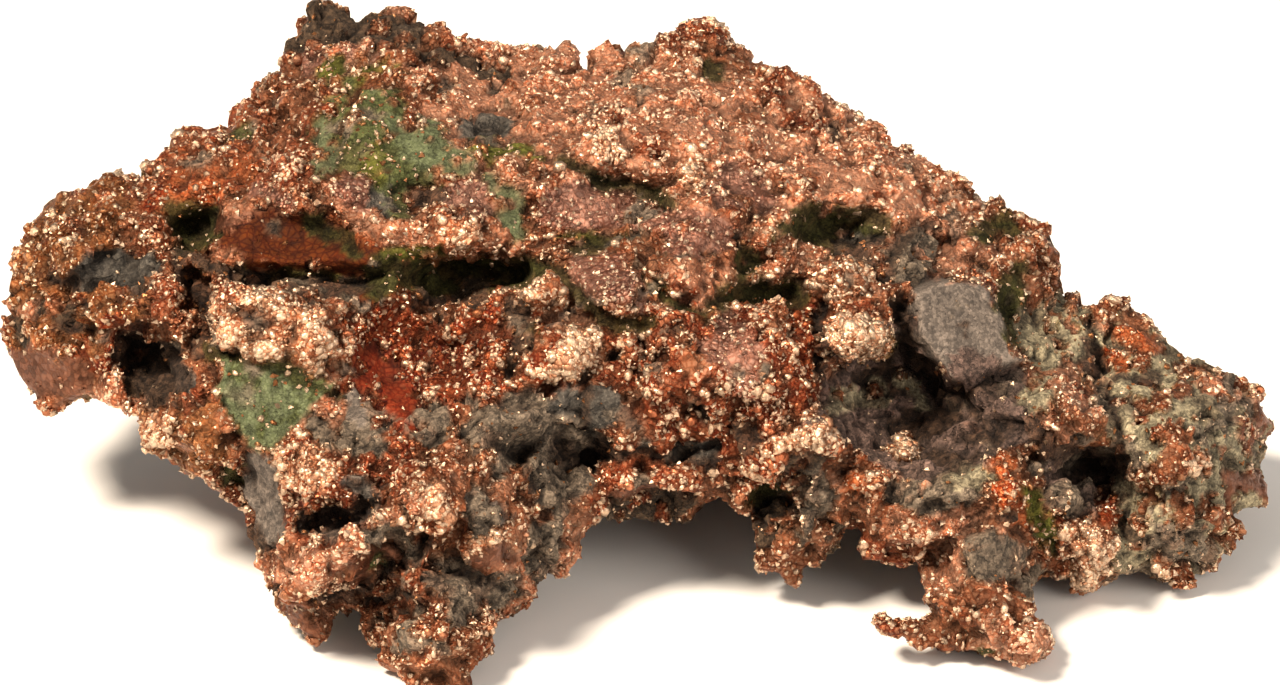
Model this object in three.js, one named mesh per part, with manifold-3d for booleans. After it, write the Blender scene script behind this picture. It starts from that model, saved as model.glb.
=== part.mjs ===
// A lump of copper ore: native copper grown through grey host rock, stained with malachite.
// The lump is drawn on its face: x to the right, y up the face, z out of the face towards
// the eye. The face leans back, so it is turned about X before the floor trims the feet.
// All lengths are millimetres.
import * as THREE from "three";
import Module from "manifold-3d";
import { ImprovedNoise } from "three/addons/math/ImprovedNoise.js";
import { mergeVertices } from "three/addons/utils/BufferGeometryUtils.js";

// Driving dimensions.
const LENGTH = 100;
const DRAWN_LENGTH = 100;
const FACE_LEAN = THREE.MathUtils.degToRad(60);
const FLOOR_DROP = 16.5;
const FACE_WIDTH = 104;
const FACE_HEIGHT = 58;
const FRONT_STEP = 1.4;
const BACK_STEP = 3.6;
const SHEET_JITTER = 0.45;
const RIM_HALF = 0.7;
const FRONT_SWELL = 8.5;
const FRONT_REACH = 9;
const BACK_SWELL = 5;
const BACK_REACH = 8;
const SWELL_POWER = 0.72;
const CALM_RIM = 1.8;
const PRISM_DEPTH = 160;

const COPPER_COLOUR = "#b5724e";

// The outline of the face, clockwise, one stretch at a time.
const LEFT_WING = [
  [-39.4, -4.6], [-40.8, -4.8], [-43.3, -4.2], [-45.9, -4.9], [-46.9, -4.8], [-48.3, -3.0],
  [-49.7, -1.2], [-50.0, 0.8], [-49.8, 1.6], [-49.4, 2.0], [-49.5, 4.1], [-48.0, 4.9],
  [-49.1, 6.3], [-48.3, 7.2], [-48.4, 8.6], [-47.6, 8.9], [-46.8, 9.7], [-46.2, 10.8],
  [-45.4, 11.6], [-44.2, 11.4], [-43.0, 12.4], [-41.5, 12.8], [-40.6, 12.5],
];
const LEFT_SLOPE = [
  [-39.1, 13.7], [-37.9, 14.3], [-36.5, 15.3], [-35.6, 16.2], [-33.9, 16.6], [-32.9, 17.3],
  [-31.9, 17.8], [-31.1, 19.1], [-30.3, 18.2], [-29.5, 18.0], [-29.1, 18.6], [-30.1, 19.8],
  [-29.4, 20.9], [-27.7, 21.4], [-27.5, 22.6], [-27.6, 23.7], [-26.6, 25.6],
];
const TOP = [
  [-25.4, 26.7], [-24.2, 26.2], [-23.3, 26.2], [-22.6, 25.5], [-20.8, 25.9], [-19.0, 26.3],
  [-17.6, 25.0], [-15.4, 24.5], [-13.9, 23.5], [-11.0, 23.1], [-7.8, 23.6], [-7.0, 23.2],
  [-6.4, 23.3], [-5.9, 24.2], [-5.1, 23.5], [-4.9, 21.7], [-3.7, 21.5], [-3.4, 22.2],
  [-2.2, 22.9], [-1.3, 22.4], [-0.6, 23.2], [2.9, 23.5], [4.2, 24.4], [5.5, 25.0],
  [6.3, 24.5], [6.8, 23.6], [7.8, 23.4], [9.0, 22.5], [10.5, 21.8],
];
const RIGHT_SLOPE = [
  [11.5, 20.8], [12.9, 20.0], [14.0, 19.9], [14.9, 19.4], [15.4, 18.6], [16.6, 17.9],
  [18.6, 17.4], [19.5, 16.3], [20.1, 14.8], [22.0, 15.0], [23.4, 13.4], [25.6, 12.2],
  [27.0, 11.1], [28.6, 10.1], [30.6, 9.6], [31.3, 9.8], [32.7, 8.9], [32.6, 5.0],
  [33.4, 3.1], [35.0, 2.8], [36.8, 2.8], [37.3, 3.3], [38.2, 2.2], [39.8, 1.5], [41.4, 0.0],
];
const RIGHT_WING = [
  [41.6, -0.7], [43.3, -1.6], [44.9, -2.0], [46.9, -3.3], [48.1, -4.2], [48.7, -5.2],
  [50.0, -6.5], [49.2, -7.4], [49.2, -8.5], [48.6, -9.6], [49.1, -10.6], [49.1, -12.4],
  [47.5, -12.9], [46.7, -13.5], [47.1, -14.4], [46.4, -15.6], [45.1, -17.2], [43.2, -17.8],
  [42.2, -18.6], [40.6, -18.6], [39.5, -17.9], [37.6, -17.6], [36.4, -18.6], [34.6, -18.5],
  [33.9, -17.8], [31.6, -17.9],
];
const HOOK_FOOT = [
  [30.5, -19.4], [30.5, -21.0], [31.4, -22.2], [32.1, -23.5], [31.6, -24.4], [30.0, -24.9],
  [26.8, -24.4], [25.5, -23.6], [24.4, -23.9], [23.0, -22.9], [21.1, -23.3], [18.7, -22.8],
  [17.7, -21.6], [18.3, -20.8], [19.0, -20.7], [19.7, -21.4], [22.0, -21.3], [22.9, -20.5],
  [21.8, -18.4], [22.1, -17.6], [21.3, -16.9], [18.9, -16.7], [17.0, -16.0], [17.8, -15.1],
];
const TOOTH = [
  [16.7, -14.2], [15.8, -14.3], [14.8, -15.8], [13.6, -17.4], [12.8, -18.0], [13.0, -19.3],
  [12.2, -19.6], [11.2, -19.0], [10.1, -17.4], [9.5, -15.3], [8.6, -13.3], [7.8, -12.4],
];
const ARCH = [
  [6.6, -12.0], [5.0, -12.2], [3.6, -13.6], [2.6, -14.4], [1.6, -14.2], [0.6, -13.5],
  [-1.2, -13.5], [-2.8, -13.1], [-3.8, -13.7],
];
const LEFT_LEG = [
  [-4.5, -14.6], [-4.4, -16.3], [-5.4, -17.3], [-7.6, -18.6], [-8.6, -19.8], [-10.4, -21.2],
  [-11.2, -22.5], [-11.0, -23.6], [-13.0, -24.8], [-13.9, -26.2], [-15.4, -26.6],
  [-17.0, -26.7], [-18.5, -25.2], [-20.1, -24.4], [-20.4, -22.6], [-21.6, -20.6],
  [-23.6, -20.3], [-24.4, -22.6], [-25.4, -22.9], [-27.0, -21.5], [-28.4, -19.2],
  [-29.4, -17.2], [-29.8, -15.3], [-30.2, -13.9], [-31.0, -12.8], [-32.8, -11.4],
];
const LEDGE = [
  [-33.5, -10.2], [-35.0, -10.0], [-35.7, -10.5], [-36.1, -9.7], [-37.0, -9.0],
  [-38.3, -8.0], [-38.9, -6.8], [-38.7, -5.4],
];
const OUTLINE = [
  ...LEFT_WING, ...LEFT_SLOPE, ...TOP, ...RIGHT_SLOPE, ...RIGHT_WING,
  ...HOOK_FOOT, ...TOOTH, ...ARCH, ...LEFT_LEG, ...LEDGE,
];

// How far the middle of the lump stands out of the face: [x, y, z] at named places.
const MIDDLE_DEPTHS = [
  [-15.5, -25.0, 13.5], [-26.0, -21.5, 8.5], [-24.0, -16.5, 7.0], [-15.6, -12.5, 6.5],
  [-36.0, -8.0, 3.5], [-48.0, 2.0, -5.5], [-42.0, 11.0, -7.0], [-31.0, 18.0, -10.5],
  [-24.0, 25.0, -14.0], [-10.0, 23.0, -14.5], [5.5, 24.0, -14.5], [15.0, 18.5, -12.5],
  [27.0, 10.5, -9.5], [32.5, 6.0, -7.5], [38.0, 2.0, -7.0], [49.0, -7.0, -6.0],
  [43.0, -17.5, 0.5], [35.0, -18.0, 1.5], [29.0, -24.0, 11.2], [18.5, -22.0, 12.5],
  [20.0, -15.5, 5.0], [12.0, -19.0, 3.5], [7.0, -12.0, 4.5], [0.0, -13.0, 2.5],
  [-5.0, -15.0, 5.5], [0.0, 0.0, 1.5], [20.0, -3.0, -1.5], [-25.0, 2.0, 0.5],
  [-5.0, 12.0, -7.0], [-27.0, 11.0, -6.0], [17.0, 9.0, -6.5], [40.0, -8.0, -3.0],
];

// Rounded lumps on the face: [x, y, half width, half height, turn in degrees, rise].
const WING_LUMPS = [
  [-47.3, 7.2, 2.6, 3.2, 20, 1.6], [-44.4, 6.5, 1.9, 1.2, 8, 1.8], [-41.8, 9.6, 2.0, 2.6, 0, 1.6],
  [-39.5, 2.2, 3.2, 1.9, -10, 2.4], [-43.3, -0.8, 2.6, 1.1, -30, 1.2],
  [36.8, 1.9, 1.8, 1.3, 0, 1.4], [39.5, 0.2, 1.8, 1.4, -20, 1.3], [45.3, -3.6, 2.2, 1.1, -30, 1.0],
  [44.0, -8.0, 4.4, 4.0, 0, 1.8], [41.0, -10.4, 1.9, 1.5, 0, 2.4], [45.6, -14.6, 2.0, 1.6, 0, 1.4],
  [47.2, -11.6, 1.8, 1.3, 15, 1.0], [41.5, -15.4, 3.5, 2.2, 0, 1.6],
];
const SHOULDER_LUMPS = [
  [-33.5, 13.3, 3.4, 2.4, 20, 1.6], [-25.3, 11.8, 4.6, 2.0, -8, 2.4], [-28.3, 20.3, 1.8, 1.1, 0, 1.2],
  [-24.0, 24.4, 3.4, 1.8, 0, 1.6], [-16.5, 23.4, 2.0, 1.2, 0, 1.4], [-22.6, 17.8, 3.0, 2.6, 30, 1.4],
  [-16.6, 16.0, 2.8, 2.2, -20, 1.2], [-6.6, 21.6, 1.4, 1.2, 0, 1.2], [5.6, 23.4, 2.0, 1.6, 0, 1.2],
  [-2.2, 15.4, 3.6, 1.7, 5, 1.4], [7.4, 15.6, 3.2, 2.0, -15, 1.2], [12.8, 13.2, 3.0, 2.2, -30, 1.2],
  [1.8, 19.4, 3.4, 2.2, 0, 1.0], [-10.4, 19.4, 3.0, 2.4, 10, 1.0], [19.2, 13.2, 2.4, 1.9, -35, 1.2],
  [25.3, 8.2, 2.2, 1.8, 0, 1.8], [31.2, 8.2, 1.4, 1.4, 0, 1.2], [28.8, 4.2, 1.8, 2.6, 10, 1.4],
];
const LEG_LUMPS = [
  [-35.0, -7.4, 4.3, 2.6, -5, 2.6], [-25.3, -9.7, 4.8, 2.3, -5, 1.4], [-27.2, -14.8, 2.0, 2.0, -40, 1.6],
  [-23.7, -16.8, 5.0, 2.2, 28, 4.2], [-15.6, -12.3, 2.1, 2.8, 5, 4.6], [-17.6, -17.6, 2.1, 1.9, 0, 2.8],
  [-21.2, -11.4, 1.7, 1.2, -15, 1.6], [-11.5, -15.4, 2.4, 3.4, 5, 3.4], [-7.9, -16.3, 1.5, 2.1, 0, 1.8],
  [-5.7, -14.6, 1.4, 2.4, 0, 1.2], [-15.8, -23.0, 3.8, 2.8, 10, 1.8], [-26.0, -21.3, 1.7, 1.8, 0, 1.0],
  [-21.6, -6.4, 2.2, 1.5, 10, 1.4], [-12.2, -19.2, 3.4, 1.6, -20, 1.0],
  [-10.0, -6.8, 2.0, 1.6, 0, 1.8], [-8.0, -9.8, 1.9, 1.4, 0, 1.6], [-2.6, -4.8, 1.9, 1.7, 0, 1.8],
  [-12.8, -9.6, 1.9, 1.5, 20, 1.6], [-6.4, -12.2, 1.4, 1.3, 0, 1.2],
];
const CENTRE_LUMPS = [
  [-7.8, 3.8, 2.4, 1.4, 12, 3.0], [-2.9, 5.0, 3.4, 2.7, -20, 2.8], [3.4, 6.0, 3.4, 2.5, 0, 2.2],
  [-14.5, 8.8, 6.0, 1.7, -5, 2.8], [-5.2, 10.8, 4.0, 2.0, 0, 1.8], [4.0, 9.8, 3.6, 1.6, 8, 1.4],
  [4.0, -1.5, 4.2, 3.6, 0, 2.6], [9.4, -2.0, 3.5, 4.6, 25, 3.2], [-6.3, -1.0, 2.5, 2.7, 0, 2.0],
  [14.0, -7.2, 2.4, 2.4, 0, 3.8], [10.0, -8.0, 2.3, 1.8, 0, 2.8], [3.2, -10.6, 4.4, 1.3, 0, 2.0],
  [-1.0, -11.2, 2.2, 1.3, 15, 2.4], [13.9, -12.2, 2.0, 2.4, 0, 1.6], [10.2, 8.8, 2.2, 1.8, 0, 1.6],
];
const RIGHT_LUMPS = [
  [15.8, 4.6, 2.7, 1.6, 0, 3.4], [17.4, 0.4, 2.7, 2.3, 20, 6.0], [21.4, 7.0, 1.7, 2.0, 0, 2.2],
  [19.0, -5.0, 2.2, 1.9, 30, 2.4], [23.6, -6.4, 2.6, 2.0, -10, 2.2], [28.0, -4.4, 2.0, 2.8, 15, 2.0],
  [20.5, -8.3, 1.2, 1.2, 0, 3.0], [17.6, -11.0, 1.3, 3.2, 20, 2.4], [21.3, -14.7, 4.4, 1.8, -6, 2.8],
  [22.5, -11.5, 3.8, 1.5, 0, 1.6], [28.6, -11.6, 1.4, 3.4, 8, 3.2], [27.5, -16.6, 2.5, 1.8, -10, 2.6],
  [24.6, -19.2, 2.0, 2.7, 30, 1.4], [29.3, -22.6, 2.4, 2.0, 0, 1.8], [20.4, -22.2, 2.4, 0.9, 0, 0.8],
  [35.1, -16.0, 1.9, 2.3, 0, 3.2], [33.2, -12.2, 2.1, 1.5, 0, 3.6], [33.0, -5.6, 3.2, 3.1, 0, 4.0],
  [32.2, 0.6, 3.2, 2.7, 0, 2.0], [31.4, -15.0, 1.5, 1.6, 0, 1.2],
];

// Flat-topped forms, listed in the same way as the lumps.
const SLABS = [
  [-28.7, 1.2, 5.8, 3.0, -22, 3.0], [-29.0, -3.9, 4.0, 3.1, -25, 1.0], [-46.4, -2.2, 3.6, 2.3, -20, 1.2],
  [25.0, 0.8, 3.6, 3.0, -40, 6.0], [-27.5, 7.4, 7.0, 1.6, -14, 0.6],
];

// Hollows in the face: [x, y, half width, half height, turn in degrees, depth].
const LEFT_HOLLOWS = [
  [-38.3, -1.8, 3.0, 2.6, 0, 6.5], [-34.7, 2.8, 1.2, 3.6, 20, 5.5], [-35.3, 8.6, 2.7, 1.7, 10, 4.8],
  [-26.5, 5.0, 8.8, 1.2, -4, 5.5], [-14.0, 5.2, 6.4, 2.1, 3, 7.0], [-27.5, 7.6, 8.0, 2.6, -14, 1.6],
  [-17.5, -1.2, 6.0, 4.8, -30, 3.6], [-17.2, 11.4, 1.5, 1.4, 0, 2.6], [-23.8, -13.5, 3.0, 1.3, 5, 4.5],
  [-31.3, -10.2, 1.8, 1.5, 0, 2.4], [-4.4, -8.7, 2.5, 1.6, -10, 3.8], [-41.2, 5.4, 3.0, 1.6, 0, 1.8],
  [-19.4, -20.4, 1.4, 1.3, 0, 1.8],
];
const RIGHT_HOLLOWS = [
  [-2.6, 12.4, 2.2, 1.2, -10, 3.2], [1.2, 11.4, 1.6, 1.1, -20, 3.2], [5.0, -4.9, 1.1, 1.1, 0, 1.8],
  [15.5, 8.3, 3.8, 2.1, -8, 4.6], [8.8, 6.1, 1.5, 1.5, 0, 2.6], [9.6, 3.6, 4.2, 1.5, 8, 4.0],
  [20.8, -4.2, 7.8, 6.2, -20, 7.6], [35.2, -10.2, 3.4, 2.8, 10, 7.0], [36.0, -0.8, 1.2, 2.4, 0, 3.2],
  [37.8, -13.2, 1.2, 2.7, -15, 3.4], [10.6, -11.7, 2.8, 1.8, 0, 3.6], [29.2, 8.4, 2.0, 1.2, 0, 2.2],
  [23.0, 7.6, 1.1, 1.8, 0, 2.8], [1.5, -13.0, 4.4, 1.6, 0, 4.2], [4.0, -8.2, 2.2, 1.5, 0, 2.2],
  [30.8, -8.6, 1.6, 1.8, 0, 2.6],
];

// Rounded masses behind the face: [x, y, z, half width, half height, half depth].
const BODIES = [
  [-4, 0, -6, 16, 10.5, 13], [-22, 0, -6, 13, 12.5, 12], [-6, 12.5, -14, 18, 8.5, 8],
  [-24, 15, -12, 8, 8.5, 8], [-40, 4, -7.5, 8, 6.2, 5.5], [14, 3, -9, 13, 11, 11],
  [27, -3, -8, 11, 8.5, 8.5], [41, -8.5, -5, 7, 6.5, 5.5], [-15, -4, -15.5, 11, 6.8, 8.5],
  [9, -3.5, -16.5, 10, 6.8, 8], [-18, -15, 6, 8, 6.5, 6.5], [10, 13.5, -14.5, 9, 6, 6.5],
];
const BODY_DETAIL = 3;
const BODY_GRAIN = 7;
const BODY_ROUGHNESS = 0.34;

// Knobs half sunk in the masses on the far side.
const KNOB_COUNT = 14;
const KNOB_DETAIL = 1;
const KNOB_SINK = 0.9;
const KNOB_SEED = 11;

const LUMPS = [
  ...WING_LUMPS, ...SHOULDER_LUMPS, ...LEG_LUMPS, ...CENTRE_LUMPS, ...RIGHT_LUMPS,
];
const HOLLOWS = [...LEFT_HOLLOWS, ...RIGHT_HOLLOWS];

const perlin = new ImprovedNoise();

// Signed noise of a given grain, with two finer layers on top.
function roughness(x, y, z, grain) {
  const broad = perlin.noise(x / grain, y / grain, z);
  const finer = perlin.noise((x * 2.1) / grain, (y * 2.1) / grain, z + 7.3);
  const finest = perlin.noise((x * 4.3) / grain, (y * 4.3) / grain, z + 3.9);
  return broad + 0.5 * finer + 0.25 * finest;
}

// The same in all three directions.
function solidRoughness(x, y, z, grain) {
  const broad = perlin.noise(x / grain, y / grain, z / grain);
  const finer = perlin.noise((x * 2.1) / grain, (y * 2.1) / grain, (z * 2.1) / grain);
  return broad + 0.6 * finer;
}

// A repeatable stream of numbers from 0 to 1.
function seededStream(seed) {
  let state = seed;
  return () => {
    state = (state * 16807) % 2147483647;
    return state / 2147483647;
  };
}

// How far a point lies inside the outline; zero outside.
function depthInside(x, y) {
  let nearest = Infinity;
  let inside = false;
  OUTLINE.forEach(([ax, ay], index) => {
    const [bx, by] = OUTLINE[(index + 1) % OUTLINE.length];
    const along = ((x - ax) * (bx - ax) + (y - ay) * (by - ay)) / ((bx - ax) ** 2 + (by - ay) ** 2);
    const share = THREE.MathUtils.clamp(along, 0, 1);
    nearest = Math.min(nearest, Math.hypot(x - ax - share * (bx - ax), y - ay - share * (by - ay)));
    if ((ay > y) !== (by > y) && x < ax + ((y - ay) * (bx - ax)) / (by - ay)) {
      inside = !inside;
    }
  });
  return inside ? nearest : 0;
}

// The middle of the lump's thickness, blended from the named places.
function middleDepth(x, y) {
  let total = 0;
  let weights = 0;
  for (const [px, py, depth] of MIDDLE_DEPTHS) {
    const weight = 1 / ((x - px) ** 2 + (y - py) ** 2 + 6) ** 1.6;
    total += weight * depth;
    weights += weight;
  }
  return total / weights;
}

// Distance from a form's middle, where 1 is its edge; a higher power squares its corners.
function formRadius([fx, fy, halfWidth, halfHeight, turn], x, y, power) {
  const angle = THREE.MathUtils.degToRad(turn);
  const across = (x - fx) * Math.cos(angle) + (y - fy) * Math.sin(angle);
  const upward = (y - fy) * Math.cos(angle) - (x - fx) * Math.sin(angle);
  const sum = Math.abs(across / halfWidth) ** power + Math.abs(upward / halfHeight) ** power;
  return sum ** (1 / power);
}

function domeHeight(form, x, y) {
  const radius = formRadius(form, x, y, 2);
  return radius < 1 ? form[5] * (1 - radius * radius) ** 0.6 : 0;
}

function slabHeight(form, x, y) {
  return form[5] * (1 - THREE.MathUtils.smoothstep(formRadius(form, x, y, 3), 0.72, 1.05));
}

function hollowDepth(form, x, y) {
  return form[5] * (1 - THREE.MathUtils.smoothstep(formRadius(form, x, y, 2), 0.4, 1.12));
}

function highest(forms, height, x, y) {
  return forms.reduce((most, form) => Math.max(most, height(form, x, y)), 0);
}

// Fullness from 0 at the outline to 1 well inside.
function swelling(inside, reach) {
  return Math.min(inside / reach, 1) ** SWELL_POWER;
}

function frontDepth(x, y) {
  const inside = depthInside(x, y);
  const wx = x + 0.7 * roughness(x, y, 1.5, 5);
  const wy = y + 0.7 * roughness(x, y, 8.5, 5);
  const lift = Math.max(highest(LUMPS, domeHeight, wx, wy), highest(SLABS, slabHeight, wx, wy));
  const dip = highest(HOLLOWS, hollowDepth, wx, wy);
  const relief = lift - dip + 0.8 * roughness(x, y, 4.5, 4.2);
  const calm = Math.min(inside / CALM_RIM, 1);
  return middleDepth(x, y) + RIM_HALF + FRONT_SWELL * swelling(inside, FRONT_REACH) + calm * relief;
}

function backDepth(x, y) {
  const inside = depthInside(x, y);
  const calm = Math.min(inside / CALM_RIM, 1);
  const fullness = BACK_SWELL * swelling(inside, BACK_REACH);
  return middleDepth(x, y) - RIM_HALF - fullness - calm * roughness(x, y, 14.5, 6);
}

// A closed sheet over the whole face whose near and far sides follow two depth functions.
function reliefSheet(step, near, far) {
  const across = Math.round(FACE_WIDTH / step);
  const upward = Math.round(FACE_HEIGHT / step);
  const sheet = new THREE.BoxGeometry(FACE_WIDTH, FACE_HEIGHT, 2, across, upward, 1);
  const spots = sheet.getAttribute("position");
  for (let i = 0; i < spots.count; i += 1) {
    const side = spots.getZ(i) > 0 ? near : far;
    const gridX = spots.getX(i);
    const gridY = spots.getY(i);
    const x = gridX + SHEET_JITTER * step * perlin.noise(gridX * 1.7, gridY * 1.7, 0.4);
    const y = gridY + SHEET_JITTER * step * perlin.noise(gridX * 1.7, gridY * 1.7, 5.6);
    spots.setXYZ(i, x, y, side(x, y));
  }
  return sheet;
}

// A rounded stone with seeded swellings, stretched to its three half sizes.
function stone([x, y, z, halfWidth, halfHeight, halfDepth], detail) {
  const ball = new THREE.IcosahedronGeometry(1, detail).scale(halfWidth, halfHeight, halfDepth);
  const spots = ball.getAttribute("position");
  for (let i = 0; i < spots.count; i += 1) {
    const spot = new THREE.Vector3().fromBufferAttribute(spots, i);
    const swell = solidRoughness(spot.x + x, spot.y + y, spot.z + z, BODY_GRAIN);
    spot.multiplyScalar(1 + BODY_ROUGHNESS * swell);
    spots.setXYZ(i, spot.x, spot.y, spot.z);
  }
  return ball.translate(x, y, z);
}

// Knobs on seeded places of the masses, kept where the outline covers them.
function scatterKnobs() {
  const next = seededStream(KNOB_SEED);
  const knobs = [];
  while (knobs.length < KNOB_COUNT) {
    const [x, y, z, halfWidth, halfHeight, halfDepth] = BODIES[Math.floor(next() * BODIES.length)];
    const around = 2 * Math.PI * next();
    const lean = Math.acos(next() * 0.95);
    const kx = x + KNOB_SINK * halfWidth * Math.sin(lean) * Math.cos(around);
    const ky = y + KNOB_SINK * halfHeight * Math.sin(lean) * Math.sin(around);
    const kz = z - KNOB_SINK * halfDepth * Math.cos(lean);
    const size = 3.0 + 2.2 * next();
    if (depthInside(kx, ky) > size) {
      knobs.push([kx, ky, kz, size * (0.8 + 0.8 * next()), size, size * (0.7 + 0.4 * next())]);
    }
  }
  return knobs;
}

function outlinePrism() {
  const shape = new THREE.Shape(OUTLINE.map(([x, y]) => new THREE.Vector2(x, y)));
  const prism = new THREE.ExtrudeGeometry(shape, { depth: PRISM_DEPTH, bevelEnabled: false });
  return prism.translate(0, 0, -PRISM_DEPTH / 2);
}

const wasm = await Module();
wasm.setup();

function toSolid(geometry) {
  const plain = geometry.clone();
  plain.deleteAttribute("normal");
  plain.deleteAttribute("uv");
  const merged = mergeVertices(plain, 1e-4);
  return new wasm.Manifold(
    new wasm.Mesh({
      numProp: 3,
      vertProperties: new Float32Array(merged.getAttribute("position").array),
      triVerts: new Uint32Array(merged.getIndex().array),
    }),
  );
}

function toGeometry(solid) {
  const mesh = solid.getMesh();
  const geometry = new THREE.BufferGeometry();
  geometry.setAttribute("position", new THREE.BufferAttribute(mesh.vertProperties, 3));
  geometry.setIndex(new THREE.BufferAttribute(mesh.triVerts, 1));
  return geometry;
}

function largestPiece(solid) {
  return solid.decompose().reduce((most, piece) => (piece.volume() > most.volume() ? piece : most));
}

function buildLump() {
  const seam = RIM_HALF / 2;
  const face = reliefSheet(FRONT_STEP, frontDepth, (x, y) => middleDepth(x, y) - seam);
  const rear = reliefSheet(BACK_STEP, (x, y) => middleDepth(x, y) + seam, backDepth);
  const stones = [
    ...BODIES.map((body) => stone(body, BODY_DETAIL)),
    ...scatterKnobs().map((knob) => stone(knob, KNOB_DETAIL)),
  ];
  const heap = stones.map(toSolid).reduce((sum, piece) => sum.add(piece));
  const behind = reliefSheet(BACK_STEP, (x, y) => middleDepth(x, y) + seam, () => -PRISM_DEPTH / 2);
  const mass = heap.intersect(toSolid(behind));
  const whole = toSolid(face).add(toSolid(rear)).add(mass);
  const trimmed = whole.intersect(toSolid(outlinePrism()));
  const turned = toGeometry(trimmed).rotateX(FACE_LEAN).translate(0, 0, FLOOR_DROP);
  const floor = new THREE.BoxGeometry(200, 200, 100).translate(0, 0, -50);
  const lump = toGeometry(largestPiece(toSolid(turned).subtract(toSolid(floor))));
  lump.computeBoundingBox();
  const middle = lump.boundingBox.getCenter(new THREE.Vector3());
  lump.translate(-middle.x, -middle.y, -lump.boundingBox.min.z);
  const scale = LENGTH / DRAWN_LENGTH;
  lump.scale(scale, scale, scale);
  lump.computeVertexNormals();
  return lump;
}

const copper = new THREE.MeshStandardMaterial({
  name: "native_copper",
  color: COPPER_COLOUR,
  roughness: 0.45,
  metalness: 0.8,
});

const ore = new THREE.Group();
ore.name = "copper_ore_part";
const lumpMesh = new THREE.Mesh(buildLump(), copper);
lumpMesh.name = "copper_ore";
ore.add(lumpMesh);

export default ore;
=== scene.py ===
"""Copper ore: native copper grown through grey host rock, with malachite stains.

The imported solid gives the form. A finer skin follows it, with nodules, broken rock and
stains set out on the face, and crystal grains of copper stand on the skin as joined meshes.
"""

from __future__ import annotations

import logging
import math
from dataclasses import dataclass, field
from enum import Enum

import bpy
import numpy as np
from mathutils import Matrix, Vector

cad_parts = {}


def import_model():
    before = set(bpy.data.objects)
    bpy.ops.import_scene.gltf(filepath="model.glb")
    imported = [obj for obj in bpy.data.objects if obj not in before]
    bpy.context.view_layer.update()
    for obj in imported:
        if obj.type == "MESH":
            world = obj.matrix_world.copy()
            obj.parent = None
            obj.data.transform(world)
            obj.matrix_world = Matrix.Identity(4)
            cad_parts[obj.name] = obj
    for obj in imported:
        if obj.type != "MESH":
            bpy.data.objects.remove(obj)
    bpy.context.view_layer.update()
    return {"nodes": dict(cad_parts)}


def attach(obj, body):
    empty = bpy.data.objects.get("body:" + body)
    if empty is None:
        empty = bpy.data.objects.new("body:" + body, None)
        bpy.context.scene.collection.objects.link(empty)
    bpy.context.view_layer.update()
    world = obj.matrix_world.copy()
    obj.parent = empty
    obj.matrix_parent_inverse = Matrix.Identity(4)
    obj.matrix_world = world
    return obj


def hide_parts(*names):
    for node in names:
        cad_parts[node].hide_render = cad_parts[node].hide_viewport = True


LOG = logging.getLogger("copper_ore")

MM = 0.001
NODE = "copper_ore"

# The face is drawn as it is seen from the front, this far above the horizon.
FACE_ELEVATION = math.radians(30.0)
FACE_UP = np.array((0.0, math.sin(FACE_ELEVATION), math.cos(FACE_ELEVATION)))
FACE_OUT = np.array((0.0, -math.cos(FACE_ELEVATION), math.sin(FACE_ELEVATION)))

# The picture's width in millimetres at the middle of the lump, and how near the lens sees.
FRAME_WIDTH_MM = 100.47
CLIP_START_M = 0.05

# The floor's faint clouds: their width and their two colours.
FLOOR_CLOUD_MM = 60.0
FLOOR_COLOURS = ("#eae8e4", "#eeece8")

# Points of the solid that are nearer than this are one point.
WELD_MM = 0.001


def linear_rgb(hex_colour: str) -> np.ndarray:
    """Turns an sRGB hex colour into linear light.

    Args:
        hex_colour: A colour such as "#b5724e".

    Returns:
        Red, green and blue: c / 12.92 below 0.04045, else ((c + 0.055) / 1.055) to the 2.4.
    """
    parts = np.array([int(hex_colour[i : i + 2], 16) / 255.0 for i in (1, 3, 5)])
    return np.where(parts <= 0.04045, parts / 12.92, ((parts + 0.055) / 1.055) ** 2.4)


def smooth_step(low: float, high: float, values: np.ndarray) -> np.ndarray:
    """Rises from 0 at low to 1 at high: with t the clamped share, t squared times (3 - 2 t)."""
    share = np.clip((values - low) / (high - low), 0.0, 1.0)
    return share * share * (3.0 - 2.0 * share)


def cell_hash(cells: np.ndarray, seed: int) -> np.ndarray:
    """Gives each whole-number cell a repeatable value from 0 to 1.

    Args:
        cells: Whole numbers in rows of three.
        seed: Another seed gives other values.

    Returns:
        The three numbers times large primes, summed, then mixed by shifts and products.
    """
    parts = cells.astype(np.int64)
    mixed = parts[..., 0] * 374761393 + parts[..., 1] * 668265263 + parts[..., 2] * 1440662683
    mixed = (mixed + seed * 362437) & 0xFFFFFFFF
    mixed = ((mixed ^ (mixed >> 13)) * 1274126177) & 0xFFFFFFFF
    mixed = ((mixed ^ (mixed >> 16)) * 2246822519) & 0xFFFFFFFF
    return ((mixed ^ (mixed >> 15)) & 0xFFFFFF) / float(0xFFFFFF)


def value_noise(points: np.ndarray, size: float, seed: int) -> np.ndarray:
    """Smooth noise from -1 to 1.

    Args:
        points: Places in millimetres, in rows of three.
        size: The distance between two lattice values, in millimetres.
        seed: Another seed gives another pattern.

    Returns:
        The eight lattice values around each place, blended by the faded shares of the cell.
    """
    scaled = points / size
    cell = np.floor(scaled)
    share = scaled - cell
    fade = share * share * (3.0 - 2.0 * share)
    total = np.zeros(len(points))
    for corner in range(8):
        step = np.array((corner & 1, (corner >> 1) & 1, (corner >> 2) & 1))
        weight = np.where(step == 1, fade, 1.0 - fade).prod(axis=1)
        total += weight * cell_hash(cell + step, seed)
    return 2.0 * total - 1.0


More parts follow.
